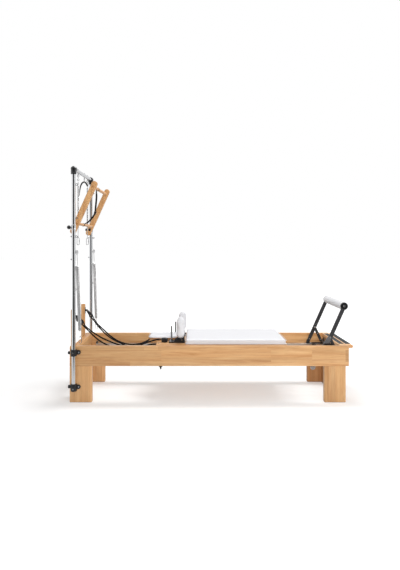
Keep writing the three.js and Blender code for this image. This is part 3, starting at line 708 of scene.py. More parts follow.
def ribbon(path, across, width, thick, edge=0.35):
    """A flat strap along a path. across is the direction of its width."""
    path = [Vector(p) for p in path]
    across = Vector(across).normalized()
    h, t = width / 2, thick / 2
    e = min(edge, 0.8 * t)
    section = [(-h, -t + e), (-h + e, -t), (h - e, -t), (h, -t + e), (h, t - e), (h - e, t), (-h + e, t), (-h, t - e)]
    verts, faces = [], []
    for i, p in enumerate(path):
        d = (path[min(i + 1, len(path) - 1)] - path[max(i - 1, 0)]).normalized()
        nrm = d.cross(across).normalized()
        for x, y in section:
            verts.append(tuple(p + across * x + nrm * y))
    m = len(section)
    for i in range(len(path) - 1):
        for j in range(m):
            k = (j + 1) % m
            faces.append([i * m + j, i * m + k, (i + 1) * m + k, (i + 1) * m + j])
    faces.append(list(range(m))[::-1])
    faces.append([(len(path) - 1) * m + j for j in range(m)])
    return verts, faces


def twisted(path, turn, width, thick, edge=0.35):
    """A strap along a path in the XZ plane. turn gives, in degrees along the path, how far its width
    has turned from Y towards the plane."""
    path = [Vector(p) for p in path]
    h, t = width / 2, thick / 2
    e = min(edge, 0.8 * t)
    section = [(-h, -t + e), (-h + e, -t), (h - e, -t), (h, -t + e), (h, t - e), (h - e, t), (-h + e, t), (-h, t - e)]
    verts, faces = [], []
    at = np.linspace(0, len(turn) - 1, len(path))
    for i, p in enumerate(path):
        d = (path[min(i + 1, len(path) - 1)] - path[max(i - 1, 0)]).normalized()
        nrm = Vector((-d.z, 0, d.x))
        a = math.radians(float(np.interp(at[i], range(len(turn)), turn)))
        wide = nrm * math.sin(a) + Vector((0, math.cos(a), 0))
        flat = nrm * math.cos(a) - Vector((0, math.sin(a), 0))
        for x, y in section:
            verts.append(tuple(p + wide * x + flat * y))
    m = len(section)
    for i in range(len(path) - 1):
        for j in range(m):
            k = (j + 1) % m
            faces.append([i * m + j, i * m + k, (i + 1) * m + k, (i + 1) * m + j])
    faces.append(list(range(m))[::-1])
    faces.append([(len(path) - 1) * m + j for j in range(m)])
    return verts, faces


def mirrored(part):
    """The same shape on the near side."""
    v, f = part[0], part[1]
    out = [(x, -y, z) for x, y, z in v], [q[::-1] for q in f]
    return (*out, *part[2:])


def with_slot(part, k):
    return (part[0], part[1], k)


def turned(part, matrix):
    return ([tuple(matrix @ Vector(p)) for p in part[0]], part[1], *part[2:])


# ------------------------------------------------------------------ pieces
def piece(name, parts, mats, body, replaces=(), angle=33, side=1):
    """One object from closed shapes, in the row frame, on its body. side -1 mirrors it to the near side."""
    mats = list(mats) if isinstance(mats, (list, tuple)) else [mats]
    verts, faces, which = [], [], []
    for part in parts:
        if side < 0:
            part = mirrored(part)
        n = len(verts)
        verts.extend(place(p) for p in part[0])
        faces.extend([i + n for i in f] for f in part[1])
        which.extend([part[2] if len(part) > 2 else 0] * len(part[1]))
    mesh = bpy.data.meshes.new(name)
    mesh.from_pydata(verts, [], faces)
    for m in mats:
        mesh.materials.append(m)
    mesh.polygons.foreach_set("material_index", which)
    mesh.validate()
    bm = bmesh.new()
    bm.from_mesh(mesh)
    bmesh.ops.recalc_face_normals(bm, faces=bm.faces)
    bm.to_mesh(mesh)
    bm.free()
    mesh.polygons.foreach_set("use_smooth", [True] * len(mesh.polygons))
    mesh.set_sharp_from_angle(angle=math.radians(angle))
    obj = bpy.data.objects.new(name, mesh)
    scene.collection.objects.link(obj)
    if body:
        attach(obj, body)
    if replaces:
        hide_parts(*replaces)
    return obj


def softened(node, width, seg=2, angle=34):
    """A CAD node's own shape in millimetres with its sharp edges rounded."""
    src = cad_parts[node].data
    bm = bmesh.new()
    bm.from_mesh(src)
    bm.transform(Matrix.Diagonal((1000, 1000, 1000, 1)))
    for v in bm.verts:
        v.co.x += X0
    bmesh.ops.remove_doubles(bm, verts=bm.verts, dist=0.01)
    bmesh.ops.dissolve_limit(bm, angle_limit=math.radians(1.0), verts=bm.verts, edges=bm.edges)
    edges = [e for e in bm.edges if len(e.link_faces) == 2 and e.calc_face_angle(0) > math.radians(angle)]
    bmesh.ops.bevel(bm, geom=edges, offset=width, offset_type="OFFSET", segments=seg, profile=0.5, affect="EDGES", clamp_overlap=True)
    bmesh.ops.recalc_face_normals(bm, faces=bm.faces)
    return from_bm(bm)


SIDES = (("near", -1), ("far", 1))

# ------------------------------------------------------------------ ropes
SHEAVE, PIVOT, BEND = (72, 671), (35, 721), 15.4
ROUTES = {
    "near": (
        [(739.6, 476), (712, 476), (680, 472), (630, 458), (570, 440), (500, 430), (430, 434), (360, 449), (295, 473),
         (235, 506), (182, 548), (154, 573.5), (130.5, 596.1), (120, 607), (105.4, 621.1), (91.4, 635.5), (80.1, 645.8)],
        [(94.5, 656.6), (101, 642.7), (114.6, 627.9), (129.2, 613.8), (154, 591.5), (188, 566), (240, 531), (300, 500), (365, 473), (435, 454), (510, 448), (585, 460),
         (650, 482), (705, 500), (745, 509), (778, 510)],
    ),
    "far": (
        [(739.6, 476), (712, 475), (680, 464), (640, 437), (590, 400), (530, 371), (465, 366), (402, 380), (350.8, 403.2),
         (304, 426), (257.7, 454), (212, 492), (174.3, 530), (151, 556), (126.3, 584.2), (114, 602.5), (102.5, 618.9), (90.2, 634.6), (80.1, 645.8)],
        [(94.5, 656.6), (100.2, 642.1), (111.7, 625.8), (123.2, 609.4), (136.3, 591.7), (165, 563.5), (205.3, 529), (250, 489.5), (295.5, 456), (345, 428),
         (402, 407), (455, 397), (510, 398), (575, 411),
         (635, 440), (690, 476), (735, 502), (778, 508)],
    ),
}
LOOP_END = 150.0      # the strands hang from the pulley up to here, and from the carriage beyond it


def braid(s, a):
    """Raised strands of a braided sheath, in millimetres."""
    return 0.24 * math.sin(4 * a + 2 * math.pi * s / 15) * math.sin(4 * a - 2 * math.pi * s / 15)


for label, side in SIDES:
    work, hand = ROUTES[label]
    spread = lambda x: min(1, max(0, (x - 120) / 200))
    L = math.hypot(SHEAVE[0] - PIVOT[0], SHEAVE[1] - PIVOT[1])
    towards = math.atan2(PIVOT[1] - SHEAVE[1], PIVOT[0] - SHEAVE[0])
    wrap = []
    for i in range(9):
        a = towards + math.pi / 2 - math.pi * i / 8
        wrap.append((SHEAVE[0] + BEND * math.cos(a), SHEAVE[1] + BEND * math.sin(a)))
    route = [(x, side * (210 + 14 * spread(x)), z) for x, z in work]
    route += [(x, side * 210, z) for x, z in wrap]
    route += [(x, side * (210 - 34 * spread(x)), z) for x, z in hand]
    line = even(smooth_path(route, 10), 2.4)
    inner = [i for i, p in enumerate(line) if p.x < LOOP_END]
    for name, path in (("work", line[:inner[0] + 1]), ("loop", line[inner[0]:inner[-1] + 2]), ("hand", line[inner[-1] + 1:])):
        obj = piece(f"rope_{label}_{name}", [tube(path, 5.4 if name == "loop" else 6.4, 16, cap="flat", relief=braid)], ROPE, None, angle=60)
        if name == "loop":
            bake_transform(obj)
        else:
            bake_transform(obj)
        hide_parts(f"rope_{label}")
        ends = path if name == "work" else path[::-1] if name == "hand" else path

# the short tail of a rope, knotted, that hangs through the open bed under the carriage
tail = even(smooth_path([(777, -228, 466.5), (777, -228, 440), (776, -228, 390), (774, -227, 345), (773, -226, 318),
                         (775, -226, 296), (776, -226, 276), (775, -226, 257)], 8), 2.4)
knot_line = []
for i in range(72):
    t = 2 * math.pi * i / 72
    knot_line.append((775.5 + 7.6 * (math.sin(t) + 1.1 * math.sin(2 * t)), -226.5 + 6.4 * math.sin(3 * t),
                      282 + 8.6 * (math.cos(t) - 1.1 * math.cos(2 * t))))
knot_tube = tube(knot_line + knot_line[:1], 5.2, 14, cap="flat")
spur = tube(even(smooth_path([(778, -227, 277), (787, -229, 284), (795, -231, 292), (800, -232, 300)], 6), 2.4), 4.8, 14, relief=braid)
knot = piece("rope_tail_knot", [knot_tube, spur], ROPE, "carriage", angle=60)
tail_obj = piece("rope_tail", [tube(tail, 4.95, 16, relief=braid)], ROPE, "carriage", angle=60)


# ------------------------------------------------------------------ upholstery, swelled by simulation
def swell(name, part, voxel, pressure, cap, pinned=None, frames=20):
    """A padded piece: a closed shape remeshed, blown up a little as cloth, each point held within cap metres."""
    mesh = bpy.data.meshes.new(name)
    mesh.from_pydata([place(p) for p in part[0]], [], part[1])
    mesh.validate()
    obj = bpy.data.objects.new(name, mesh)
    scene.collection.objects.link(obj)
    mod = obj.modifiers.new("remesh", "REMESH")
    mod.mode = "VOXEL"
    mod.voxel_size = voxel
    mod.use_smooth_shade = True
    dg = bpy.context.evaluated_depsgraph_get()
    fine = bpy.data.meshes.new_from_object(obj.evaluated_get(dg))
    obj.modifiers.clear()
    obj.data = fine
    bpy.data.meshes.remove(mesh)
    fine.name = name
    n = len(fine.vertices)
    rest = np.zeros(n * 3, np.float32)
    fine.vertices.foreach_get("co", rest)
    rest = rest.reshape(-1, 3).astype(float)
    if pinned is not None:
        group = obj.vertex_groups.new(name="pin")
        group.add([int(i) for i in np.flatnonzero(pinned(rest))], 1.0, "ADD")
    cloth = obj.modifiers.new("cloth", "CLOTH")
    s = cloth.settings
    s.quality = 4
    s.mass = 0.3
    s.tension_stiffness = s.compression_stiffness = 18
    s.shear_stiffness = 12
    s.bending_stiffness = 1.5
    s.use_pressure = True
    s.uniform_pressure_force = pressure
    s.effector_weights.gravity = 0
    if pinned is not None:
        s.vertex_group_mass = "pin"
    cloth.point_cache.frame_start, cloth.point_cache.frame_end = 1, frames
    for f in range(1, frames + 1):
        scene.frame_set(f)
    dg = bpy.context.evaluated_depsgraph_get()
    out = obj.evaluated_get(dg).to_mesh()
    now = np.zeros(n * 3, np.float32)
    out.vertices.foreach_get("co", now)
    now = now.reshape(-1, 3).astype(float)
    obj.evaluated_get(dg).to_mesh_clear()
    obj.modifiers.clear()
    if pinned is not None:
        obj.vertex_groups.clear()
    move = now - rest
    far = np.linalg.norm(move, axis=1, keepdims=True)
    move *= np.minimum(1.0, cap / np.maximum(far, 1e-9))
    rest = rest + np.nan_to_num(move)
    scene.frame_set(1)
    fine.vertices.foreach_set("co", rest.astype(np.float32).ravel())
    fine.update()
    return obj, rest


def settle(obj, points, low, high):
    """Keeps a swelled pad inside its box, in millimetres, by easing what passes each side."""
    lo, hi = np.array(place(low)), np.array(place(high))
    p = points.copy()
    for k in range(3):
        over, under = p[:, k] > hi[k], p[:, k] < lo[k]
        p[over, k] = hi[k] + (p[over, k] - hi[k]) * 0.06
        p[under, k] = lo[k] + (p[under, k] - lo[k]) * 0.02
    obj.data.vertices.foreach_set("co", p.astype(np.float32).ravel())
    obj.data.update()
    return p


def upholster(obj, mat, body, replaces, sub=1):
    obj.data.materials.clear()
    obj.data.materials.append(mat)
    obj.data.polygons.foreach_set("use_smooth", [True] * len(obj.data.polygons))
    if sub:
        m = obj.modifiers.new("fine", "SUBSURF")
        m.levels = m.render_levels = sub
    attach(obj, body)
    if replaces:
        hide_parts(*replaces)
    return obj


def welt(name, outline, plane, t, r, mat, body, n=10):
    """A sewn cord round an outline."""
    pts = []
    for u, w in outline:
        pts.append((u, t, w) if plane == "XZ" else (u, w, t) if plane == "XY" else (t, u, w))
    loop = even([Vector(p) for p in pts + pts[:1]], 5.0)
    obj = piece(name, [tube(loop, r, n, cap="flat")], mat, body, angle=60)
    return obj


def stitches(path, length, gap, r, lift):
    """Short threads along a path, each standing lift proud of it."""
    parts = []
    s, run = 0.0, length + gap
    line = even(path, length / 3)
    total = length_of(line)
    step = total / max(1, len(line) - 1)
    k = max(1, int(round(length / step)))
    jump = max(k + 1, int(round(run / step)))
    for i in range(0, len(line) - k, jump):
        seg = line[i:i + k + 1]
        parts.append(tube([p + Vector(lift) for p in seg], r, 6))
    return parts


# carriage pad: a firm slab, crowned, its underside flat on the deck
def slab(x0, x1, y0, y1, z0, z1, corner, edge):
    outline = rounded([(x0, y0), (x1, y0), (x1, y1), (x0, y1)], corner, 6)
    return prism(outline, "XY", z0, z1, edge, 4)


pad, pts = swell("carriage_pad_vinyl", slab(996, 1877, -295, 295, 486, 528.5, 14, 7.5), 0.0075, 3.0, 0.006,
                 pinned=lambda p: p[:, 2] < 0.4875)
settle(pad, pts, (993.3, -298, 485.6), (1879.7, 298, 531))
upholster(pad, VINYL, "carriage", ["carriage_pad"])
seam_outline = rounded([(994.2, -296.8), (1878.8, -296.8), (1878.8, 296.8), (994.2, 296.8)], 14, 8)
welt("carriage_pad_seam", seam_outline, "XY", 522.0, 1.5, VINYL_ROLL, "carriage")
welt("carriage_pad_base_seam", seam_outline, "XY", 489.6, 1.3, VINYL_ROLL, "carriage")

# headrest: a thin pad on a board that tips up
head, pts = swell("headrest_pad", slab(659.5, 911.5, -112.5, 112.5, 510.0, 526.5, 16, 7), 0.0042, 3.5, 0.006,
                  pinned=lambda p: p[:, 2] < 0.5112)
settle(head, pts, (657.3, -115, 509.8), (913.7, 115, 529))
upholster(head, VINYL, "headrest", ["headrest"])
head_outline = rounded([(658.4, -114), (912.6, -114), (912.6, 114), (658.4, 114)], 16, 8)
welt("headrest_seam", head_outline, "XY", 522.0, 1.3, VINYL_ROLL, "headrest")
piece("headrest_board", [prism(rounded([(658, -113), (913, -113), (913, 113), (658, 113)], 12, 6), "XY", 497.1, 509.7, 1.2)],
      PLY, "headrest")
piece("headrest_hinge", [
    *[rbox(893, 913, y - 14, y + 14, 496.2, 497.6, 0.5, 1) for y in (-77, 77)],
    *[rod((914, y - 14, 496.9), (914, y + 14, 496.9), 2.6, 0.5, 20) for y in (-77, 77)],
    *[with_slot(dome((903, y + d, 496.1), (0, 0, -1), 3.0, 1.2), 1) for y in (-77, 77) for d in (-8, 8)]],
    [STEEL, STEEL], "headrest")

# shoulder rests
for label, side in SIDES:
    mid = 952.5 if side < 0 else 961
    pad, pts = swell(f"shoulder_pad_{label}_vinyl",
                     (lambda q: mirrored(q) if side < 0 else q)(prism(capsule((mid, 572), 31, (mid, 675), 31, 16), "XZ", 116, 258, 9, 4)),
                     0.0042, 4.0, 0.007)
    y0, y1 = (112, 262) if side > 0 else (-262, -112)
    settle(pad, pts, (mid - 35, y0, 536.4), (mid + 35, y1, 711))
    upholster(pad, VINYL, "carriage", [f"shoulder_pad_{label}"])
    ring_line = capsule((mid, 571.4), 33.6, (mid, 675.6), 33.6, 22)
    for k, y in enumerate((120.5, 253.5)):
        welt(f"shoulder_pad_{label}_seam_{'ab'[k]}", ring_line, "XZ", side * y, 1.3, VINYL_ROLL, "carriage")

# footbar roll: a padded tube with a lengthwise seam
roll_x, roll_z = 2380, 820


def crowned_roll():
    prof = [(0, -282.4), (17, -282.4)]
    for i in range(7):
        a = math.pi / 2 * i / 6
        prof.append((28.0 + 6.0 * math.sin(a), -276.0 - 6.2 * math.cos(a)))
    for i in range(1, 24):
        t = -276 + 552 * i / 24
        prof.append((34.0 + 0.9 * (1 - (t / 276) ** 2) + 0.12 * math.sin(t * 0.16), t))
    for i in range(7):
        a = math.pi / 2 * (1 - i / 6)
        prof.append((28.0 + 6.0 * math.sin(a), 276.0 + 6.2 * math.cos(a)))
    prof += [(17, 282.4), (0, 282.4)]
    return lathe(prof, (roll_x, 0, roll_z), (0, 1, 0), 56)


roll = piece("footbar_roll_vinyl", [crowned_roll()], VINYL_ROLL, "footbar", ["footbar_roll"], 50)
seam_a = math.radians(-118)
piece("footbar_roll_seam", [tube([(roll_x + 34.6 * math.cos(seam_a), y, roll_z + 34.6 * math.sin(seam_a)) for y in range(-272, 273, 8)], 1.1, 8)],
      VINYL, "footbar", angle=60)

# ------------------------------------------------------------------ wooden bed
def laminated(x0, x1, y0, y1, z0, z1, joints=()):
    """A board of strips glued edge to edge, with a hairline V at each glue line."""
    c, v = 2.6, 0.55
    right, left = [], []
    for z in joints:
        right += [(y1, z - v), (y1 - v, z), (y1, z + v)]
        left += [(y0, z + v), (y0 + v, z), (y0, z - v)]
    corners = lambda pts: rounded(pts, c, 4)
    base = corners([(y0, z0), (y1, z0), (y1, z1), (y0, z1)])
    # weave the joints into the two upright sides
    out = []
    for i, p in enumerate(base):
        out.append(p)
        q = base[(i + 1) % len(base)]
        if abs(p[0] - y1) < 1e-6 and abs(q[0] - y1) < 1e-6 and q[1] > p[1]:
            out += right
        if abs(p[0] - y0) < 1e-6 and abs(q[0] - y0) < 1e-6 and q[1] < p[1]:
            out += left[::-1] if False else sorted(left, key=lambda w: -w[1])
    return prism(out, "YZ", x0, x1, 1.4, 2)


for label, side in SIDES:
    piece(f"rail_{label}", [laminated(0, 2403, 305, 350, 312, 483, (349.5, 449.5))], WOOD_X if side < 0 else WOOD_X_FAR, "frame",
          [f"side_rail_{label}"], side=side)
for name, node, x0, x1 in (("head_cross_board", "head_board", 16.3, 61.3), ("foot_cross_board", "foot_board", 2345, 2390)):
    piece(name, [rbox(x0, x1, -304.7, 304.7, 312, 483 if x0 < 100 else 457.2, 2.4, 3)], WOOD_Y, "frame", [node])

for label, side in SIDES:
    head_leg = rounded([(0, 350), (191, 350), (191, 305), (45, 305), (45, 150), (0, 150)], [4, 4, 3, 5, 4, 4], 4)
    head_leg = head_leg[:0] + head_leg
    foot_leg = rounded([(2192, 350), (2350, 350), (2350.6, 349.4), (2351.2, 350), (2376, 350), (2376, 150), (2331, 150), (2331, 305), (2192, 305)],
                       [4, 0, 0, 0, 4, 4, 4, 5, 3], 4)
    piece(f"head_leg_{label}", [prism(head_leg, "XY", 2.6, 311.7, 1.6, 2)], WOOD_LEG_HEAD if side < 0 else WOOD_LEG_HEAD_FAR_LIT, "frame", [f"leg_head_{label}"], side=side)
    piece(f"foot_leg_{label}", [prism(foot_leg, "XY", 2.6, 311.7, 1.6, 2)], WOOD_LEG_FOOT if side < 0 else WOOD_LEG_FOOT_FAR_SHADED, "frame", [f"leg_foot_{label}"], side=side)
    pads = []
    for x0, x1, xr0, xr1 in ((3, 188, 3, 42), (2195, 2373, 2334, 2373)):
        pads.append(rbox(x0, x1, 308, 347, 0, 2.8, 0.8, 2))
        pads.append(rbox(xr0, xr1, 153, 308.5, 0, 2.8, 0.8, 2))
    piece(f"leg_pads_{label}", pads, FELT, "frame", side=side)
    # bolts that hold the legs to the rails, with their washers, on the inner faces
    bolts = []
    for x, z, r in ((70, 282, 13), (140, 282, 13), (2225, 282, 13), (2290, 282, 13), (2247, 146, 26)):
        bolts += [washer((x, 305, z), (0, -1, 0), r, 2.4), hexhead((x, 303, z), (0, -1, 0), 0.36 * r + 3.6, 6.5),
                  rod((x, 297.5, z), (x, 293.0, z), 4.2, 0.8, 20)]
    piece(f"leg_bolts_{label}", bolts, STEEL, "frame", side=side)

for label, side in SIDES:
    prof = rounded([(304.7, 360), (304.7, 388), (255, 388), (255, 382), (297, 360)], [1.0, 0.6, 1.6, 1.6, 1.0], 3)
    screws = [dome((x, 304.7 - 18, 377.6), (0, -0.46, -0.888), 4.6, 2.0) for x in range(170, 2330, 240)]
    piece(f"wheel_track_{label}", [prism(prof, "YZ", 110, 2344.5, 0.6, 1), *[with_slot(q, 1) for q in screws]], [ALUMINIUM, STEEL],
          "frame", [f"track_{label}"], side=side)
    # end stops of soft rubber for the wheels
    piece(f"track_stop_{label}", [rbox(112, 128, 262, 300, 388.2, 410, 3, 3)], TYRE, "frame", side=side)

nose = rounded([(2338.1, 457.6), (2452, 457.6), (2452, 485.5), (2338.1, 485.5)], [2.0, 10.5, 10.5, 2.5], 7)
piece("platform_board", [prism(nose, "XZ", -304.6, 304.6, 2.0, 3)], WOOD_PLATFORM, "frame", ["standing_platform"])


def grip(x0, x1):
    pts = [(x0, 485.2), (x0, 486.6), (x0 + 1.2, 487.4)]
    x = x0 + 1.8
    while x + 4.2 < x1 - 1.2:
        pts += [(x, 487.4), (x + 0.9, 488.7), (x + 2.3, 488.7), (x + 3.2, 487.4)]
        x += 4.2
    pts += [(x1 - 1.2, 487.4), (x1, 486.6), (x1, 485.2)]
    return prism(pts, "XZ", -257, 257, 0.3, 1)


piece("platform_grips", [grip(2346, 2386), grip(2400, 2446)], RUBBER, "frame", angle=25)

# spring bar with a hook for each spring
hooks = []
for y in (-165, -55, 55, 165):
    hooks.append(tube(even(smooth_path([(2227, y, 383), (2221, y, 384), (2216, y, 379), (2215.4, y, 372), (2219, y, 366), (2224, y, 366.5)], 6), 1.6), 2.4, 12))
    hooks.append(lathe([(0, -1), (6.5, -1), (6.5, 2.4), (5, 3.2), (0, 3.2)], (2226, y, 383), (-1, 0, 0), 24))
    hooks.append(hexhead((2254, y, 383), (1, 0, 0), 6, 4.2))
piece("spring_bar_hooks", hooks, STEEL, "frame")
piece("spring_bar_beam", [rbox(2226, 2254, -254.7, 254.7, 352, 392, 2.6, 3)], BLACK, "frame", ["spring_bar"])

# ------------------------------------------------------------------ pulley posts and pulleys
for label, side in SIDES:
    yc = 210
    piece(f"pulley_post_{label}", [rbox(-20, 16, 190, 230, 330, 782, 4.0, 4)], WOOD_POST, "frame", [f"riser_{label}"], side=side)
    bolts = []
    for z in (360, 450):
        bolts += [lathe([(0, 0.2), (8.2, 0.2), (7.8, 1.6), (5.6, 3.0), (2.6, 3.7), (0, 3.8)], (-20, yc, z), (-1, 0, 0), 28)]
    piece(f"post_bolts_{label}", bolts, STEEL, "frame", side=side)
    ears = []
    for d in (-11.85, 11.85):
        ears.append(prism(capsule((12, 721), 9, (35, 721), 8, 12), "XZ", yc + d - 1.5, yc + d + 1.5, 0.5))
    plate = rounded([(yc - 16, 690), (yc + 16, 690), (yc + 16, 752), (yc - 16, 752)], 5, 4)
    ears.append(prism(plate, "YZ", 15.7, 18.7, 0.6))
    ears.append(rod((35, yc - 13.4, 721), (35, yc + 13.4, 721), 3.0, 0.4, 24))
    ears += [with_slot(dome((35, yc + 13.2, 721), (0, 1, 0), 5.4, 2.6), 1), with_slot(hexhead((35, yc - 13.2, 721), (0, -1, 0), 5.6, 3.4), 1)]
    ears += [with_slot(dome((18.5, yc, z), (1, 0, 0), 4.2, 1.8), 1) for z in (698, 744)]
    if side < 0:
        ears.append(prism(capsule((34, 724), 8.5, (38, 684), 8.5, 12), "XZ", yc + 16.4, yc + 18.6, 0.5))
    piece(f"pulley_hanger_{label}", ears, [BLACK, STEEL], "frame", [f"riser_{label}"], side=side)

    sx, sz = SHEAVE
    L = math.hypot(sx - PIVOT[0], sz - PIVOT[1])
    dx, dz = (sx - PIVOT[0]) / L, (sz - PIVOT[1]) / L
    cheek = capsule(PIVOT, 8, (sx + 5 * dx, sz + 5 * dz), 15, 18)
    block = [prism(cheek, "XZ", yc - 10, yc - 7.4, 0.7), prism(cheek, "XZ", yc + 7.4, yc + 10, 0.7),
             lathe([(3.5, -7.6), (7.2, -7.6), (7.2, 7.6), (3.5, 7.6)], (PIVOT[0], yc, PIVOT[1]), (0, 1, 0), 28, closed=True),
             rod((PIVOT[0] + 13 * dx + 6 * dz, yc - 7.8, PIVOT[1] + 13 * dz - 6 * dx), (PIVOT[0] + 13 * dx + 6 * dz, yc + 7.8, PIVOT[1] + 13 * dz - 6 * dx), 2.2, 0.3, 16),
             rod((PIVOT[0] + 13 * dx - 6 * dz, yc - 7.8, PIVOT[1] + 13 * dz + 6 * dx), (PIVOT[0] + 13 * dx - 6 * dz, yc + 7.8, PIVOT[1] + 13 * dz + 6 * dx), 2.2, 0.3, 16),
             with_slot(rod((sx, yc - 10.4, sz), (sx, yc + 10.4, sz), 4.0, 0.4, 24), 1),
             with_slot(dome((sx, yc + 10.0, sz), (0, 1, 0), 6.0, 2.4), 1), with_slot(hexhead((sx, yc - 10.0, sz), (0, -1, 0), 6.2, 3.0), 1)]
    piece(f"pulley_cheeks_{label}", block, [BLACK, STEEL], f"pulley_{label}", [f"pulley_block_{label}"], side=side)
    half = [(10.0, 0), (10.25, 1.7), (10.9, 3.2), (12.0, 4.5), (13.4, 5.3), (14.9, 5.9), (15, 6.5), (14.6, 7), (13, 7), (12.4, 6.4), (8.6, 6.4), (8, 7), (4.5, 7)]
    wheel = [(r, -w) for r, w in half[:0:-1]] + half
    piece(f"sheave_{label}_wheel", [lathe(wheel, (sx, yc, sz), (0, 1, 0), 48, closed=True)], TYRE, f"sheave_{label}",
          [f"pulley_sheave_{label}"], side=side)

# ------------------------------------------------------------------ tower
for label, side in SIDES:
    y = 372
    parts = [pipe((40, y, 115.4), (40, y, 1975), 17, 15, 56)]
    for z, x, R, r in ((1871, 65, 8, 2.3), (1587, 65, 8, 2.3), (1426, 65, 8, 2.3), (1299, 68.5, 8, 2.3), (973, 55.4, 6.8, 1.8)):
        parts.append(with_slot(torus((x, y, z), (0, 1, 0), R, r, 36, 12), 1))
        if x > 60:
            parts.append(lathe([(0, -1), (5.4, -1), (4.2, 1.6), (3.0, 2.4), (2.6, 3.6 + x - 65), (0, 3.6 + x - 65)], (56.4, y, z), (1, 0, 0), 24))
    for z in (1426, 1230):
        parts.append(with_slot(hexhead((23.4, y, z), (-1, 0, 0), 6.6, 5.6), 1))
        parts.append(with_slot(rod((20, y, z), (14, y, z), 3.4, 0.8, 20), 1))
    piece(f"upright_{label}", parts, [CHROME, LINK_STEEL], "frame", [f"tower_pole_{label}"], side=side)
parts = [pipe((40, -355, 2005), (40, 355, 2005), 17, 15, 56)]
for y in (-200, 62, 200):
    parts.append(with_slot(torus((40, y, 1981), (1, 0, 0), 8, 2.3, 36, 12), 1))
    parts.append(lathe([(0, -1), (5.2, -1), (4.0, 1.4), (2.6, 2.6), (0, 2.8)], (40, y, 1988.6), (0, 0, -1), 24))
    parts.append(with_slot(hexhead((40, y, 2021.6), (0, 0, 1), 6.6, 5.6), 1))
    parts.append(with_slot(rod((40, y, 2024), (40, y, 2029.4), 3.4, 0.8, 20), 1))
piece("top_crossbar", parts, [CHROME, LINK_STEEL], "frame", ["tower_crossbar"])

for label, side in SIDES:
    y = 372
    lip = lambda z0, z1, far: [(17.45, z0), (22.0, z0), (23.4, z0 + 0.8), (24.2, z0 + 2.4), (24.2, z0 + 6.0), (23.5, z0 + 7.4), (23.5, z1), (17.45, z1)]
    body = [lathe(lip(1958.6, 2005, 0), (40, y, 0), (0, 0, 1), 56, closed=True), lathe(lip(336.1, 368, 0), (40, 0, 2005), (0, 1, 0), 56, closed=True),
            ball((40, y, 2005), 25, 56, 30)]
    body.append(with_slot(lathe([(0, -1), (4.6, -1), (4.6, 0.6), (3.8, 1.3), (2.2, 1.3), (2.0, 0.2), (0, 0.2)], (63.2, y, 1982), (1, 0, 0), 24), 1))
    body.append(with_slot(lathe([(0, -1), (4.6, -1), (4.6, 0.6), (3.8, 1.3), (2.2, 1.3), (2.0, 0.2), (0, 0.2)], (16.8, y, 1982), (-1, 0, 0), 24), 1))
    piece(f"elbow_{label}", body, [PLASTIC, STEEL], "frame", [f"corner_elbow_{label}"], angle=40, side=side)
    piece(f"rail_clamp_{label}", [softened(f"pole_bracket_{label}", 1.5, 2)], BLACK, "frame", [f"pole_bracket_{label}"], angle=40)
    piece(f"pole_cup_{label}", [softened(f"pole_socket_{label}", 1.5, 2)], BLACK, "frame", [f"pole_socket_{label}"], angle=40)
    screws = [dome((80, 359.8, 432), (0, 1, 0), 6.4, 3.0), dome((79, 359.8, 136), (0, 1, 0), 6.4, 3.0),
              lathe([(0, -1), (4.2, -1), (4.2, 0.8), (3.4, 1.4), (2.0, 1.4), (1.8, 0.2), (0, 0.2)], (40, 396.6, 432), (0, 1, 0), 20),
              lathe([(0, -1), (4.2, -1), (4.2, 0.8), (3.4, 1.4), (2.0, 1.4), (1.8, 0.2), (0, 0.2)], (40, 396.6, 124), (0, 1, 0), 20)]
    piece(f"clamp_screws_{label}", screws, STEEL, "frame", side=side)
    lobed = prism([(y + u, w) for u, w in disc(0, 432, 13.2, 60, 6, 0.9)], "YZ", -9, 7.6, 2.6, 3)
    parts = [lobed, lathe([(0, 7), (9.6, 7), (8.2, 10.4), (6.2, 11), (0, 11)], (0, y, 432), (1, 0, 0), 32),
             with_slot(rod((10, y, 432), (22.2, y, 432), 4.0, 0.6, 24), 1),
             with_slot(lathe([(0, -1), (5, -1), (5, 0.2), (4.2, 0.8), (0, 0.8)], (-9, y, 432), (-1, 0, 0), 24), 1)]
    piece(f"lock_knob_{label}_grip", parts, [PLASTIC, STEEL], f"lock_knob_{label}", [f"lock_knob_{label}"], side=side)


# ------------------------------------------------------------------ hanging springs
def link(centre, axis_long, across, half, wide, wire):
    """A long closed link: two straight sides with round ends."""
    c, k, u = Vector(centre), Vector(axis_long).normalized(), Vector(across).normalized()
    pts = []
    for i in range(15):
        a = math.pi * i / 14
        pts.append(c + k * (half - wide) + (u * math.cos(a) + k * math.sin(a)) * wide)
    for i in range(15):
        a = math.pi * i / 14
        pts.append(c - k * (half - wide) - (u * math.cos(a) + k * math.sin(a)) * wide)
    pts.append(pts[0])
    return tube(pts, wire, 12, cap="flat")


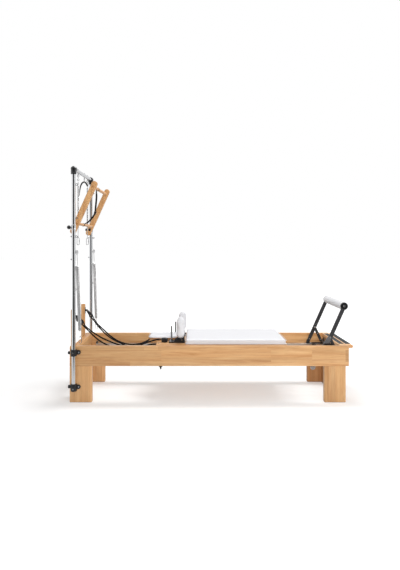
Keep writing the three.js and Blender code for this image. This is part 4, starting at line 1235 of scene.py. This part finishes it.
def hanging(O, w, flat, R, wire, pitch, marks, ring_at=None, hook=None):
    """flat is the normal of the plane that the end links lie in. hook is (middle, half length, half
    width, wire) of the link that the spring ends in."""
    at = lambda d: Vector(O) + Vector(w) * d
    c0, c1, end = marks
    middle, half, wide, gauge = hook or (end - 27, 26.5, 10.5, 2.3)
    top = middle - half
    n = Vector(flat)
    side = Vector(w).cross(n)
    parts = [with_slot(torus(at(9), Vector(w).cross(Vector((0, 1, 0))) if abs(n.y) < 0.5 else (0, 1, 0), 8.6, 2.1, 32, 12), 1)]
    neck = ring_at - 9 if ring_at else c0 - 4
    parts.append(lathe([(0, 16), (4.4, 16), (5, 17.4), (5, 24), (3.8, 26), (2.6, 27), (2.6, neck + 2), (0, neck + 2)], O, w, 24))
    if ring_at:
        parts.append(with_slot(torus(at(ring_at), (0, 1, 0), 8.2, 2.0, 32, 12), 1))
    parts.append(lathe([(0, c0 - 9), (2.6, c0 - 9), (3.2, c0 - 6), (R - 2.2, c0 + 0.5), (R - 0.9, c0 + 4), (R - 0.9, c0 + 7), (0, c0 + 7)], O, w, 28))
    parts.append(coil(at(c0 + 2), at(c1 - 2), R, wire, pitch))
    parts.append(lathe([(0, c1 - 7), (R - 0.9, c1 - 7), (R - 0.9, c1 - 4), (R - 2.2, c1 - 0.5), (3.2, c1 + 6), (2.6, c1 + 9), (2.6, top + 1.5), (0, top + 1.5)], O, w, 28))
    parts.append(lathe([(0, top - 8.5), (4.6, top - 8.5), (5.2, top - 6.5), (5.2, top - 0.5), (4.0, top + 2.5), (0, top + 2.5)], O, w, 24))
    parts.append(with_slot(link(at(middle), w, side, half, wide, gauge), 1))
    # sleeve over the gate of the link
    k = Vector(w).normalized()
    g = at(middle) + Vector(side).normalized() * wide
    parts.append(with_slot(rod(tuple(g - k * half * 0.34), tuple(g + k * half * 0.20), gauge + 1.1, 0.5, 20), 1))
    return parts


for label, side in SIDES:
    lean = math.atan2(24.1, 663.8)
    w = (math.sin(lean), 0, -math.cos(lean))
    piece(f"tower_spring_{label}_coil", hanging((68.5, 372, 1295.8), w, (0, 1, 0), 15.2, 1.5, 3.5, (123, 674, 783)), [SPRING, LINK_STEEL],
          f"tower_spring_{label}", [f"tower_spring_{label}"], angle=50, side=side)
    piece(f"crossbar_spring_{label}_coil", hanging((40, 200, 1977.8), (0, 0, -1), (0, 1, 0), 7.5, 1.05, 2.5, (72, 470, 623), 45, (591, 31.8, 10.0, 2.1)),
          [SPRING, LINK_STEEL], f"crossbar_spring_{label}", [f"crossbar_spring_{label}"], angle=50, side=side)

# ------------------------------------------------------------------ push-through bar
LEAN = math.radians(24.3)
ux, uz = math.sin(LEAN), math.cos(LEAN)
on_arm = lambda d: (40 + ux * d, 1505 + uz * d)
for label, side in SIDES:
    arm = prism(capsule(on_arm(-35), 25, on_arm(413), 25, 26), "XZ", 307, 341, 5.5, 4)
    # the dowels come through the arms: their ends, a little proud
    ends = [with_slot(lathe([(0, 340.0), (r, 340.0), (r, 341.1), (r - 0.7, 341.7), (0, 341.9)], (c[0], 0, c[1]), (0, 1, 0), 36), 1)
            for c, r in (((197, 1858), 10.5), ((64, 1537), 9.5))]
    piece(f"bar_side_{label}", [arm, *ends], [WOOD_ARM, WOOD_DOWEL], "push_bar", [f"bar_arm_{label}"], side=side)
    y = 372
    collar = lathe([(17.4, -23), (19.2, -23), (20.4, -21.8), (21, -20), (21, -15), (19.8, -13.5), (19.8, 13.5), (21, 15), (21, 20),
                    (20.4, 21.8), (19.2, 23), (17.4, 23)], (40, y, 1505), (0, 0, 1), 56, closed=True)
    lug = lathe([(8.1, -30.5), (13.2, -30.5), (14, -29.6), (14, -20), (8.1, -18)], (40, y, 1505), (0, 1, 0), 40, closed=True)
    shaft = lathe(rounded_profile(8.0, -71, -19.5, 0.6), (40, y, 1505), (0, 1, 0), 36)
    head = lathe([(0, -73), (10.5, -73), (12.6, -71.6), (13, -70), (13, -66.4), (12.4, -65.4), (0, -65.4)], (40, y, 1505), (0, 1, 0), 36)
    stem = lathe([(0, 16), (8, 16), (8, 22), (6.4, 23.4), (6.4, 30), (0, 30)], (40, y, 1505), (-1, 0, 0), 28)
    knob = ball((0, y, 1505), 17.4, 40, 22)
    piece(f"slide_collar_{label}", [collar, lug, stem, with_slot(shaft, 1), with_slot(head, 2), with_slot(knob, 2)], [CHROME, STEEL, PLASTIC],
          "bar_clamps", [f"bar_clamp_{label}"], side=side)


def dowel(name, node, c, r):
    prof = [(0, -306.6), (r - 1.2, -306.6), (r - 0.3, -305.2)] + [(r + 0.05 * math.sin(t * 0.11), t) for t in range(-300, 301, 20)] + \
        [(r - 0.3, 305.2), (r - 1.2, 306.6), (0, 306.6)]
    return piece(name, [lathe(prof, (c[0], 0, c[1]), (0, 1, 0), 40)], WOOD_DOWEL, "push_bar", [node])


dowel("top_dowel", "bar_dowel_top", (197, 1858), 13.5)
dowel("low_dowel", "bar_dowel_low", (64, 1537), 12)

strap_line = [(182.3, 1852), (185, 1800), (181, 1740), (176, 1690), (172.5, 1650), (158, 1618), (134, 1588), (108, 1562), (84, 1548), (74, 1544)]
strap = smooth_path([(x, -100, z) for x, z in strap_line], 8)
loops = [lathe([(r + 0.4, -8), (r + 0.7, -8.0), (r + 2.3, -8), (r + 2.6, -7.6), (r + 2.6, 7.6), (r + 2.3, 8), (r + 0.7, 8), (r + 0.4, 7.6)], (c[0], -100, c[1]), (0, 1, 0), 44, closed=True)
         for c, r in (((197, 1858), 13.5), ((64, 1537), 12))]
sewn = []
for at, size in ((2, 1), (len(strap) - 8, 1)):
    seg = strap[at:at + 6]
    for d in (-5.6, 5.6):
        sewn += stitches([p + Vector((0, d, 0)) for p in seg], 3.2, 1.6, 0.35, (1.3 if at == 2 else 0.9, 0, 0 if at == 2 else 1.1))
STRAP_TURN = (10, 66, 84, 88, 86, 58, 50, 44, 20, 0)
piece("bar_strap_web", [twisted(strap, STRAP_TURN, 16, 2.4), *loops, *[with_slot(q, 1) for q in sewn]], [WEB, THREAD_DARK], "push_bar",
      ["bar_strap"], angle=50)
# ladder buckle on the strap
bk = Vector((172.0, -100, 1646))
tilt = Matrix.Translation(bk) @ Matrix.Rotation(math.radians(12), 4, "Y") @ Matrix.Rotation(math.radians(-80), 4, "Z") @ Matrix.Translation(-bk)
buckle = [turned(q, tilt) for q in (
    rbox(bk.x - 4.2, bk.x + 1.6, -111.5, -108.4, bk.z - 13, bk.z + 13, 1.0, 2), rbox(bk.x - 4.2, bk.x + 1.6, -91.6, -88.5, bk.z - 13, bk.z + 13, 1.0, 2),
    rbox(bk.x - 3.6, bk.x + 2.4, -110, -90, bk.z - 13, bk.z - 9.6, 1.0, 2), rbox(bk.x - 5.0, bk.x - 1.6, -110, -90, bk.z - 1.8, bk.z + 1.8, 0.9, 2),
    rbox(bk.x - 3.6, bk.x + 2.4, -110, -90, bk.z + 9.6, bk.z + 13, 1.0, 2))]
piece("bar_strap_buckle", buckle, STEEL, "push_bar")

# webbing hung over a ring under the crossbar
ring_parts = [link((40, 62, 1968.2), (0, 0, 1), (1, 0, 0), 9.0, 5.2, 1.7), link((40, 62, 1950.0), (0, 0, 1), (0, 1, 0), 12.8, 9.5, 1.9)]
piece("sling_links", ring_parts, STEEL, "frame", angle=50)
sling = smooth_path([(-7, 62, 1818), (-5, 62, 1845), (-1, 62, 1880), (6, 62, 1911), (20, 62, 1937), (38, 62, 1946.2), (53, 62, 1937), (65, 62, 1918), (70, 62, 1903)], 8)
piece("sling_web", [twisted(sling, (8, 20, 52, 74, 84, 90, 80, 60, 30), 14.0, 5.0, 2.2)], WEB, "frame", angle=60)

# ------------------------------------------------------------------ carriage
piece("deck_board", [softened("carriage_deck", 2.0, 2)], WOOD_DECK, "carriage", ["carriage_deck"], angle=40)
grommets = []
for s in (-1, 1):
    grommets.append(torus((739.6, s * 224, 476), (1, 0, 0), 5.0, 1.6, 28, 10))
    grommets.append(washer((758, s * 224, 485), (0, 0, 1), 7, 1.4))
    grommets.append(dome((758, s * 224, 486), (0, 0, 1), 4.2, 2.2))
piece("rope_grommets", grommets, BLACK, "carriage")

for label, side in SIDES:
    base = [prism(rounded([(846, 117), (990, 117), (990, 216), (846, 216)], 9, 5), "XY", 485.4, 495.8, 1.4, 2)]
    stand = rounded([(917, 495), (986, 495), (984.5, 535.6), (924, 535.6)], [1, 1, 5, 5], 4)
    base.append(prism(stand, "XZ", 122, 214, 3.0, 3))
    for yy in (131, 205):
        base.append(prism([(890, 495.4), (922, 495.4), (926, 528)], "XZ", yy - 3.5, yy + 3.5, 0.8, 1))
    base.append(lathe([(0, 213), (9.4, 213), (9.4, 217), (8.4, 219.6), (6.4, 220.6), (0, 220.6)], (963, 0, 514), (0, 1, 0), 36))
    bolts = [with_slot(lathe([(0, 220.2), (4.6, 220.2), (4.4, 221.4), (3.2, 222), (0, 222)], (963, 0, 514), (0, 1, 0), 28), 1)]
    for x, yy in ((861, 203), (861, 167), (861, 142), (905, 186)):
        bolts += [with_slot(washer((x, yy, 495.8), (0, 0, 1), 8.5, 1.5), 1), with_slot(hexhead((x, yy, 497.0), (0, 0, 1), 5.6, 4.4), 1)]
    bolts += [with_slot(dome((924.8, yy, 512), (-1, 0, 0), 5.0, 2.2), 1) for yy in (150, 192)]
    if side < 0:
        bolts.append(lathe([(0, -2), (3.6, -2), (3.6, 5), (6.2, 5.4), (6.6, 6.6), (6.6, 11), (5.6, 12.6), (0, 13)], (987.2, 187, 566), (1, 0, 0), 28))
    piece(f"shoulder_mount_{label}", [*base, *bolts], [BLACK, STEEL], "carriage", [f"shoulder_base_{label}"], side=side)
    px = 868 if side < 0 else 895
    peg = [lathe([(0, 495), (10.5, 495), (10.5, 498.6), (9.2, 501), (7.6, 502.4), (0, 502.4)], (px, 128, 0), (0, 0, 1), 32),
           with_slot(lathe([(0, 501), (6.5, 501), (7.0, 502.5), (7.0, 560), (6.8, 561), (7.0, 562), (7.0, 618), (6.4, 621.8), (4.8, 624.2), (2.4, 625), (0, 625)],
                           (px, 128, 0), (0, 0, 1), 36), 1)]
    piece(f"strap_peg_{label}", peg, [BLACK, GREY_RUBBER], "carriage", [f"shoulder_base_{label}"], side=side)

    # rolled hand strap: one webbing wound on itself
    turns, t0 = 9.6, 5.0
    spiral = []
    steps = 260
    for i in range(steps + 1):
        a = 2 * math.pi * turns * i / steps
        r = t0 + (28.2 - t0) * i / steps
        spiral.append((808 + r * math.cos(a + 0.9), 170 + r * math.sin(a + 0.9), 503.4 if side < 0 else 498.6))
    piece(f"hand_strap_{label}_roll", [ribbon(spiral, (0, 0, 1), 35.0 if side < 0 else 25.4, 2.1)], WEB_ROLL, "carriage", [f"hand_strap_{label}"], angle=50, side=side)
    yr = 176
    collar = [lathe([(0, 0), (6.2, 0), (6.7, 1), (6.7, 15), (6.2, 16), (0, 16)], (762, yr, 509.6 if side < 0 else 507), (1, 0, 0), 24)]
    shackle = [link((781, yr, 509.6 if side < 0 else 507.6), (1, 0, 0), (0, 0, 1), 8.5, 6.0, 1.6)]
    piece(f"strap_clip_{label}", [*collar, *[with_slot(q, 1) for q in shackle]], [PLASTIC, STEEL], "carriage", side=side)

for name, node, x in (("wheels_head", "wheelset_head", 860), ("wheels_foot", "wheelset_foot", 1760)):
    z = 426.3
    parts = [with_slot(rod((x, -291.4, z), (x, 291.4, z), 6.0, 0.8, 28), 1)]
    for s in (-1, 1):
        tyre = [(15, -14), (34.6, -14), (36.8, -13.2), (38, -11.4), (38, 11.4), (36.8, 13.2), (34.6, 14), (33, 13.2), (31, 9.4), (17, 9.4), (15.6, 14), (9, 14), (9, -14)]
        hub = lathe(tyre, (x, s * 278, z), (0, 1, 0), 56, closed=True)
        parts.append(hub)
        parts.append(with_slot(lathe([(6, -13.4), (9.4, -13.4), (9.4, 13.4), (6, 13.4)], (x, s * 278, z), (0, 1, 0), 36, closed=True), 1))
        for i in range(5):
            a = 2 * math.pi * i / 5
            parts.append(with_slot(dome((x + 24 * math.cos(a), s * 287.2, z + 24 * math.sin(a)), (0, s, 0), 2.6, 1.4, 16), 1))
    piece(name, parts, [TYRE, STEEL], name.replace("wheels", "wheelset"), [node])

# the springs under the carriage, on their anchor bar
parts = [rod((1850, -204.6, 372), (1850, 204.6, 372), 6, 0.8, 28)]
for y in (-55, 55):
    parts.append(lathe([(6.2, -4), (9, -4), (9, 4), (6.2, 4)], (1850, y, 372), (0, 1, 0), 28, closed=True))
piece("spring_anchor", parts, STEEL, "carriage", ["carriage_springs"])
for i, y in enumerate((-165, -55, 55, 165)):
    eye0 = torus((1850, y, 372), (0, 1, 0), 8.2, 1.7, 28, 10)
    eye1 = torus((2211, y, 372), (0, 1, 0), 8.0, 1.7, 28, 10)
    caps = [lathe([(0, 8.4), (2.4, 8.4), (3, 12), (9.4, 20), (9.4, 26), (0, 26)], (1850, y, 372), (1, 0, 0), 24),
            lathe([(0, 8.4), (2.4, 8.4), (3, 12), (9.4, 20), (9.4, 26), (0, 26)], (2211, y, 372), (-1, 0, 0), 24)]
    spring = piece(f"carriage_spring_{i + 1}", [coil((1868, y, 372), (2193, y, 372), 11, 1.5, 3.6, 14, 6), eye0, eye1, *caps], SPRING, None, angle=50)
    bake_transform(spring)
    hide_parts("carriage_springs")

# ------------------------------------------------------------------ footbar
FP, FA, FR, BT = (2197, 408), (2258, 546), (2380, 820), (2319, 415)
fl = math.hypot(FR[0] - FP[0], FR[1] - FP[1])
fdx, fdz = (FR[0] - FP[0]) / fl, (FR[1] - FP[1]) / fl
at_bar = lambda d: (FP[0] + fdx * d, FP[1] + fdz * d)
for label, side in SIDES:
    arm = prism(capsule(FP, 14, FR, 14, 18), "XZ", 283, 295, 1.6, 3)
    broad = prism(capsule((2215, 448.5), 16.7, FR, 16.7, 18), "XZ", 282.9, 295.1, 1.8, 3)
    web = rounded([(2187.5, 399.5), (2211, 401.5), (2260.5, 520.5), (2268.4, 548), (2261, 558.6), (2250, 561.4), (2241.2, 556),
                   (2229.4, 540.2), (2199.4, 495.4), (2186.4, 469.6), (2181.4, 440), (2182.4, 411)], [3, 3, 6, 5, 5, 5, 4, 6, 6, 6, 6, 4], 3)
    sleeve = prism(web, "XZ", 282.8, 295.3, 1.0, 2)
    # The thin black plate below stands on the outer face of the near arm, just above the rail. It is painted shade: it
    # darkens the arm's lower end where shade falls between the arm, the gusset and the rail.
    shade_plate_outline = rounded([(2194, 434), (2232, 434), (2280, 484), (2275, 497), (2200, 497), (2190, 470)], 5, 3)
    shade_plate = prism(shade_plate_outline, "XZ", 294.9, 297.2, 0.6, 1)
    cap = lathe([(0, 283), (33, 283), (33, 290), (31.8, 293.6), (28.6, 295.4), (20, 295.9), (12, 295.4), (11, 294.4), (0, 294.4)], (FR[0], 0, FR[1]), (0, 1, 0), 56)
    bolts = [washer((FR[0], 294.2, FR[1]), (0, 1, 0), 9.5, 1.4), hexhead((FR[0], 295.2, FR[1]), (0, 1, 0), 6.4, 4.0)]
    bolts += [dome((at_bar(60)[0], 297.0 if side < 0 else 294.9, at_bar(60)[1]), (0, 1, 0), 4.6, 1.9), dome((at_bar(150.9)[0], 295.0, at_bar(150.9)[1]), (0, 1, 0), 6.2, 2.4)]
    bolts += [dome((at_bar(176)[0], 283.0, at_bar(176)[1]), (0, -1, 0), 3.6, 1.6), dome((at_bar(24)[0], 283.1, at_bar(24)[1]), (0, -1, 0), 5.2, 2.0)]
    # near side only: the grey gusset, and the black plate of painted shade
    gusset_and_shade_plate = [with_slot(sleeve, 1), with_slot(shade_plate, 4)] if side < 0 else []
    piece(f"footbar_side_{label}", [arm, broad, *gusset_and_shade_plate, with_slot(cap, 2), *[with_slot(q, 3) for q in bolts]],
          [GRAPHITE, GUSSET, PLASTIC, STEEL, BLACK], "footbar", [f"footbar_arm_{label}"], side=side)
    piece(f"footbar_mount_{label}", [softened(f"footbar_bracket_{label}", 1.0, 2)], BLACK, "frame", [f"footbar_bracket_{label}"], angle=40)
    # the bolts of the plate
    bolts = []
    for x in (2222, 2250):
        bolts += [washer((x, 280, 392), (0, 0, 1), 8, 1.4), hexhead((x, 280, 393), (0, 0, 1), 5.6, 4.2)]
    bolts += [dome((2340, 258.3, z), (0, -1, 0), 3.4, 1.5) for z in (412, 434)]
    piece(f"footbar_mount_bolts_{label}", bolts, STEEL, "frame", side=side)

strut_parts = [lathe([(0, -280)] + [(11.2, -280), (12, -279.2)] + [(12, t) for t in range(-270, 271, 60)] + [(12, 279.2), (11.2, 280), (0, 280)], (BT[0], 0, BT[1]), (0, 1, 0), 44)]
strut_parts = [with_slot(q, 2) for q in strut_parts]
for s in (-1, 1):
    q = [prism(capsule(FA, 13, BT, 13, 18), "XZ", 272, 280, 1.4, 2),
         with_slot(rod((FA[0], 278, FA[1]), (FA[0], 297.6, FA[1]), 5.0, 0.6, 24), 1),
         with_slot(dome((FA[0], 272.1, FA[1]), (0, -1, 0), 7.6, 2.8), 1),
         with_slot(dome((BT[0] - 6, 272.1, BT[1] + 14), (0, -1, 0), 5.4, 2.2), 1),
         with_slot(dome((BT[0] - 3, 280.0, BT[1] + 9), (0, 1, 0), 3.2, 1.2), 1)]
    mid = ((FA[0] * 0.55 + BT[0] * 0.45), (FA[1] * 0.55 + BT[1] * 0.45))
    q.append(with_slot(dome((mid[0], 272.1, mid[1]), (0, -1, 0), 4.2, 1.8), 1))
    strut_parts += [mirrored(p) if s < 0 else p for p in q]
piece("brace_frame", strut_parts, [GRAPHITE, STEEL, BLACK], "footbar_brace", ["footbar_brace"])

# ------------------------------------------------------------------ floor, light
FLOOR_LIFT, WORLD_FILL = 0.185, 0.45
# Chrome shows the room: a bright window side on the left, a dark side behind the camera, a grey side on
# the right. The floor and the world give that to glossy rays, and plain white to everything else.
ROOM = [(-180, 0.80), (-62, 1.0), (-44, 1.0), (-31, 0.10), (0, 0.05), (44, 0.07), (60, 0.38), (100, 0.55), (180, 0.80)]


def room(tree, x, y):
    turn = tree.nodes.new("ShaderNodeMath")
    turn.operation = "ARCTAN2"
    back = tree.nodes.new("ShaderNodeMath")
    back.operation = "MULTIPLY"
    back.inputs[1].default_value = -1.0
    tree.links.new(y, back.inputs[0])
    tree.links.new(x, turn.inputs[0])
    tree.links.new(back.outputs[0], turn.inputs[1])
    fit = tree.nodes.new("ShaderNodeMapRange")
    fit.inputs["From Min"].default_value, fit.inputs["From Max"].default_value = -math.pi, math.pi
    tree.links.new(turn.outputs[0], fit.inputs["Value"])
    r = tree.nodes.new("ShaderNodeValToRGB")
    while len(r.color_ramp.elements) < len(ROOM):
        r.color_ramp.elements.new(0.5)
    for e, (deg, v) in zip(r.color_ramp.elements, ROOM):
        e.position = (deg + 180) / 360
        e.color = (v, v, v * 1.01, 1)
    tree.links.new(fit.outputs[0], r.inputs[0])
    return r.outputs[0]


n = Nodes("floor")
speck = n.noise(n.scaled((2, 2, 2)), 1.0, 3, 0.5)
floor_mat = n.finish(n.ramp(speck, [(0.3, (0.83, 0.83, 0.83)), (0.7, (0.845, 0.845, 0.845))]), 0.75, Specular_IOR_Level=0.2)
glow = n.new("ShaderNodeEmission")
glow.inputs["Color"].default_value = (1, 1, 1, 1)
rays = n.new("ShaderNodeLightPath")
fx, fy, _ = n.xyz()
away = n.math("SQRT", n.math("ADD", n.math("POWER", n.math("ADD", fx, 1.1), 2.0), n.math("POWER", fy, 2.0)))
out = n.math("SQRT", n.math("ADD", n.math("POWER", n.math("MULTIPLY", fx, 0.6), 2.0), n.math("POWER", fy, 2.0)))
lift = n.math("ADD", FLOOR_LIFT, n.ramp(n.between(out, 1.0, 3.0), [(0.0, 0.0), (1.0, 0.55)]))
n.link(n.math("MULTIPLY", rays.outputs["Is Camera Ray"], lift), glow.inputs["Strength"])
lifted = n.new("ShaderNodeAddShader")
n.link(n.bsdf.outputs[0], lifted.inputs[0])
n.link(glow.outputs[0], lifted.inputs[1])
mirror = n.new("ShaderNodeEmission")
n.link(n.mix(n.ramp(n.between(away, 1.2, 2.6), [(0.0, 0.0), (1.0, 1.0)]), (0.72, 0.72, 0.72), room(n.tree, n.math("ADD", fx, 1.1), fy)), mirror.inputs["Color"])
seen_by = n.new("ShaderNodeMixShader")
n.link(rays.outputs["Is Glossy Ray"], seen_by.inputs[0])
n.link(lifted.outputs[0], seen_by.inputs[1])
n.link(mirror.outputs[0], seen_by.inputs[2])
n.link(seen_by.outputs[0], n.out.inputs["Surface"])
mesh = bpy.data.meshes.new("floor")
mesh.from_pydata([(-40, -40, 0), (40, -40, 0), (40, 40, 0), (-40, 40, 0)], [], [[0, 1, 2, 3]])
mesh.materials.append(floor_mat)
floor = bpy.data.objects.new("floor", mesh)
scene.collection.objects.link(floor)


def area(name, at, look, size, power, colour=(1, 1, 1)):
    data = bpy.data.lights.new(name, "AREA")
    data.shape = "RECTANGLE"
    data.size, data.size_y = size
    data.energy = power
    data.color = colour
    obj = bpy.data.objects.new(name, data)
    scene.collection.objects.link(obj)
    obj.location = at
    obj.rotation_euler = (Vector(look) - Vector(at)).to_track_quat("-Z", "Y").to_euler()
    return obj


area("top_light", (0.30, 0.85, 4.2), (0, 0.0, 0.3), (2.3, 1.0), 96)
area("front_light", (2.2, -5.4, 3.6), (0.1, 0, 0.5), (3.0, 2.0), 45).visible_glossy = False
fill = area("front_fill", (1.6, -5.4, 3.2), (0.1, 0, 0.5), (3.0, 2.0), 184)
fill.visible_glossy = False
fill.data.use_shadow = False
side_fill = area("right_light", (4.0, -1.0, 2.0), (0, 0, 0.6), (3.0, 3.0), 26)
side_fill.data.use_shadow = False

world = bpy.data.worlds.new("studio")
scene.world = world
world.use_nodes = True
wt = world.node_tree
wt.nodes.clear()
wo = wt.nodes.new("ShaderNodeOutputWorld")


def background(strength):
    b = wt.nodes.new("ShaderNodeBackground")
    b.inputs["Color"].default_value = (1, 1, 1, 1)
    b.inputs["Strength"].default_value = strength
    return b


def blend(fac, a, b):
    m = wt.nodes.new("ShaderNodeMixShader")
    wt.links.new(fac, m.inputs[0])
    wt.links.new(a, m.inputs[1])
    wt.links.new(b, m.inputs[2])
    return m.outputs[0]


seen, lit, shown = background(1.0), background(WORLD_FILL), background(1.0)
tc = wt.nodes.new("ShaderNodeTexCoord")
sep = wt.nodes.new("ShaderNodeSeparateXYZ")
wt.links.new(tc.outputs["Generated"], sep.inputs[0])
# overhead the room is bright whichever way it is looked at
up = wt.nodes.new("ShaderNodeMapRange")
up.inputs["From Min"].default_value, up.inputs["From Max"].default_value = 0.35, 0.75
wt.links.new(sep.outputs["Z"], up.inputs["Value"])
sky = wt.nodes.new("ShaderNodeMix")
sky.data_type = "RGBA"
wt.links.new(up.outputs[0], sky.inputs[0])
wt.links.new(room(wt, sep.outputs["X"], sep.outputs["Y"]), sky.inputs[6])
sky.inputs[7].default_value = (0.95, 0.95, 0.95, 1)
wt.links.new(sky.outputs[2], shown.inputs["Color"])
rays = wt.nodes.new("ShaderNodeLightPath")
rest = blend(rays.outputs["Is Glossy Ray"], lit.outputs[0], shown.outputs[0])
wt.links.new(blend(rays.outputs["Is Camera Ray"], rest, seen.outputs[0]), wo.inputs[0])
scene.view_settings.view_transform = "Standard"
scene.view_settings.look = "None"
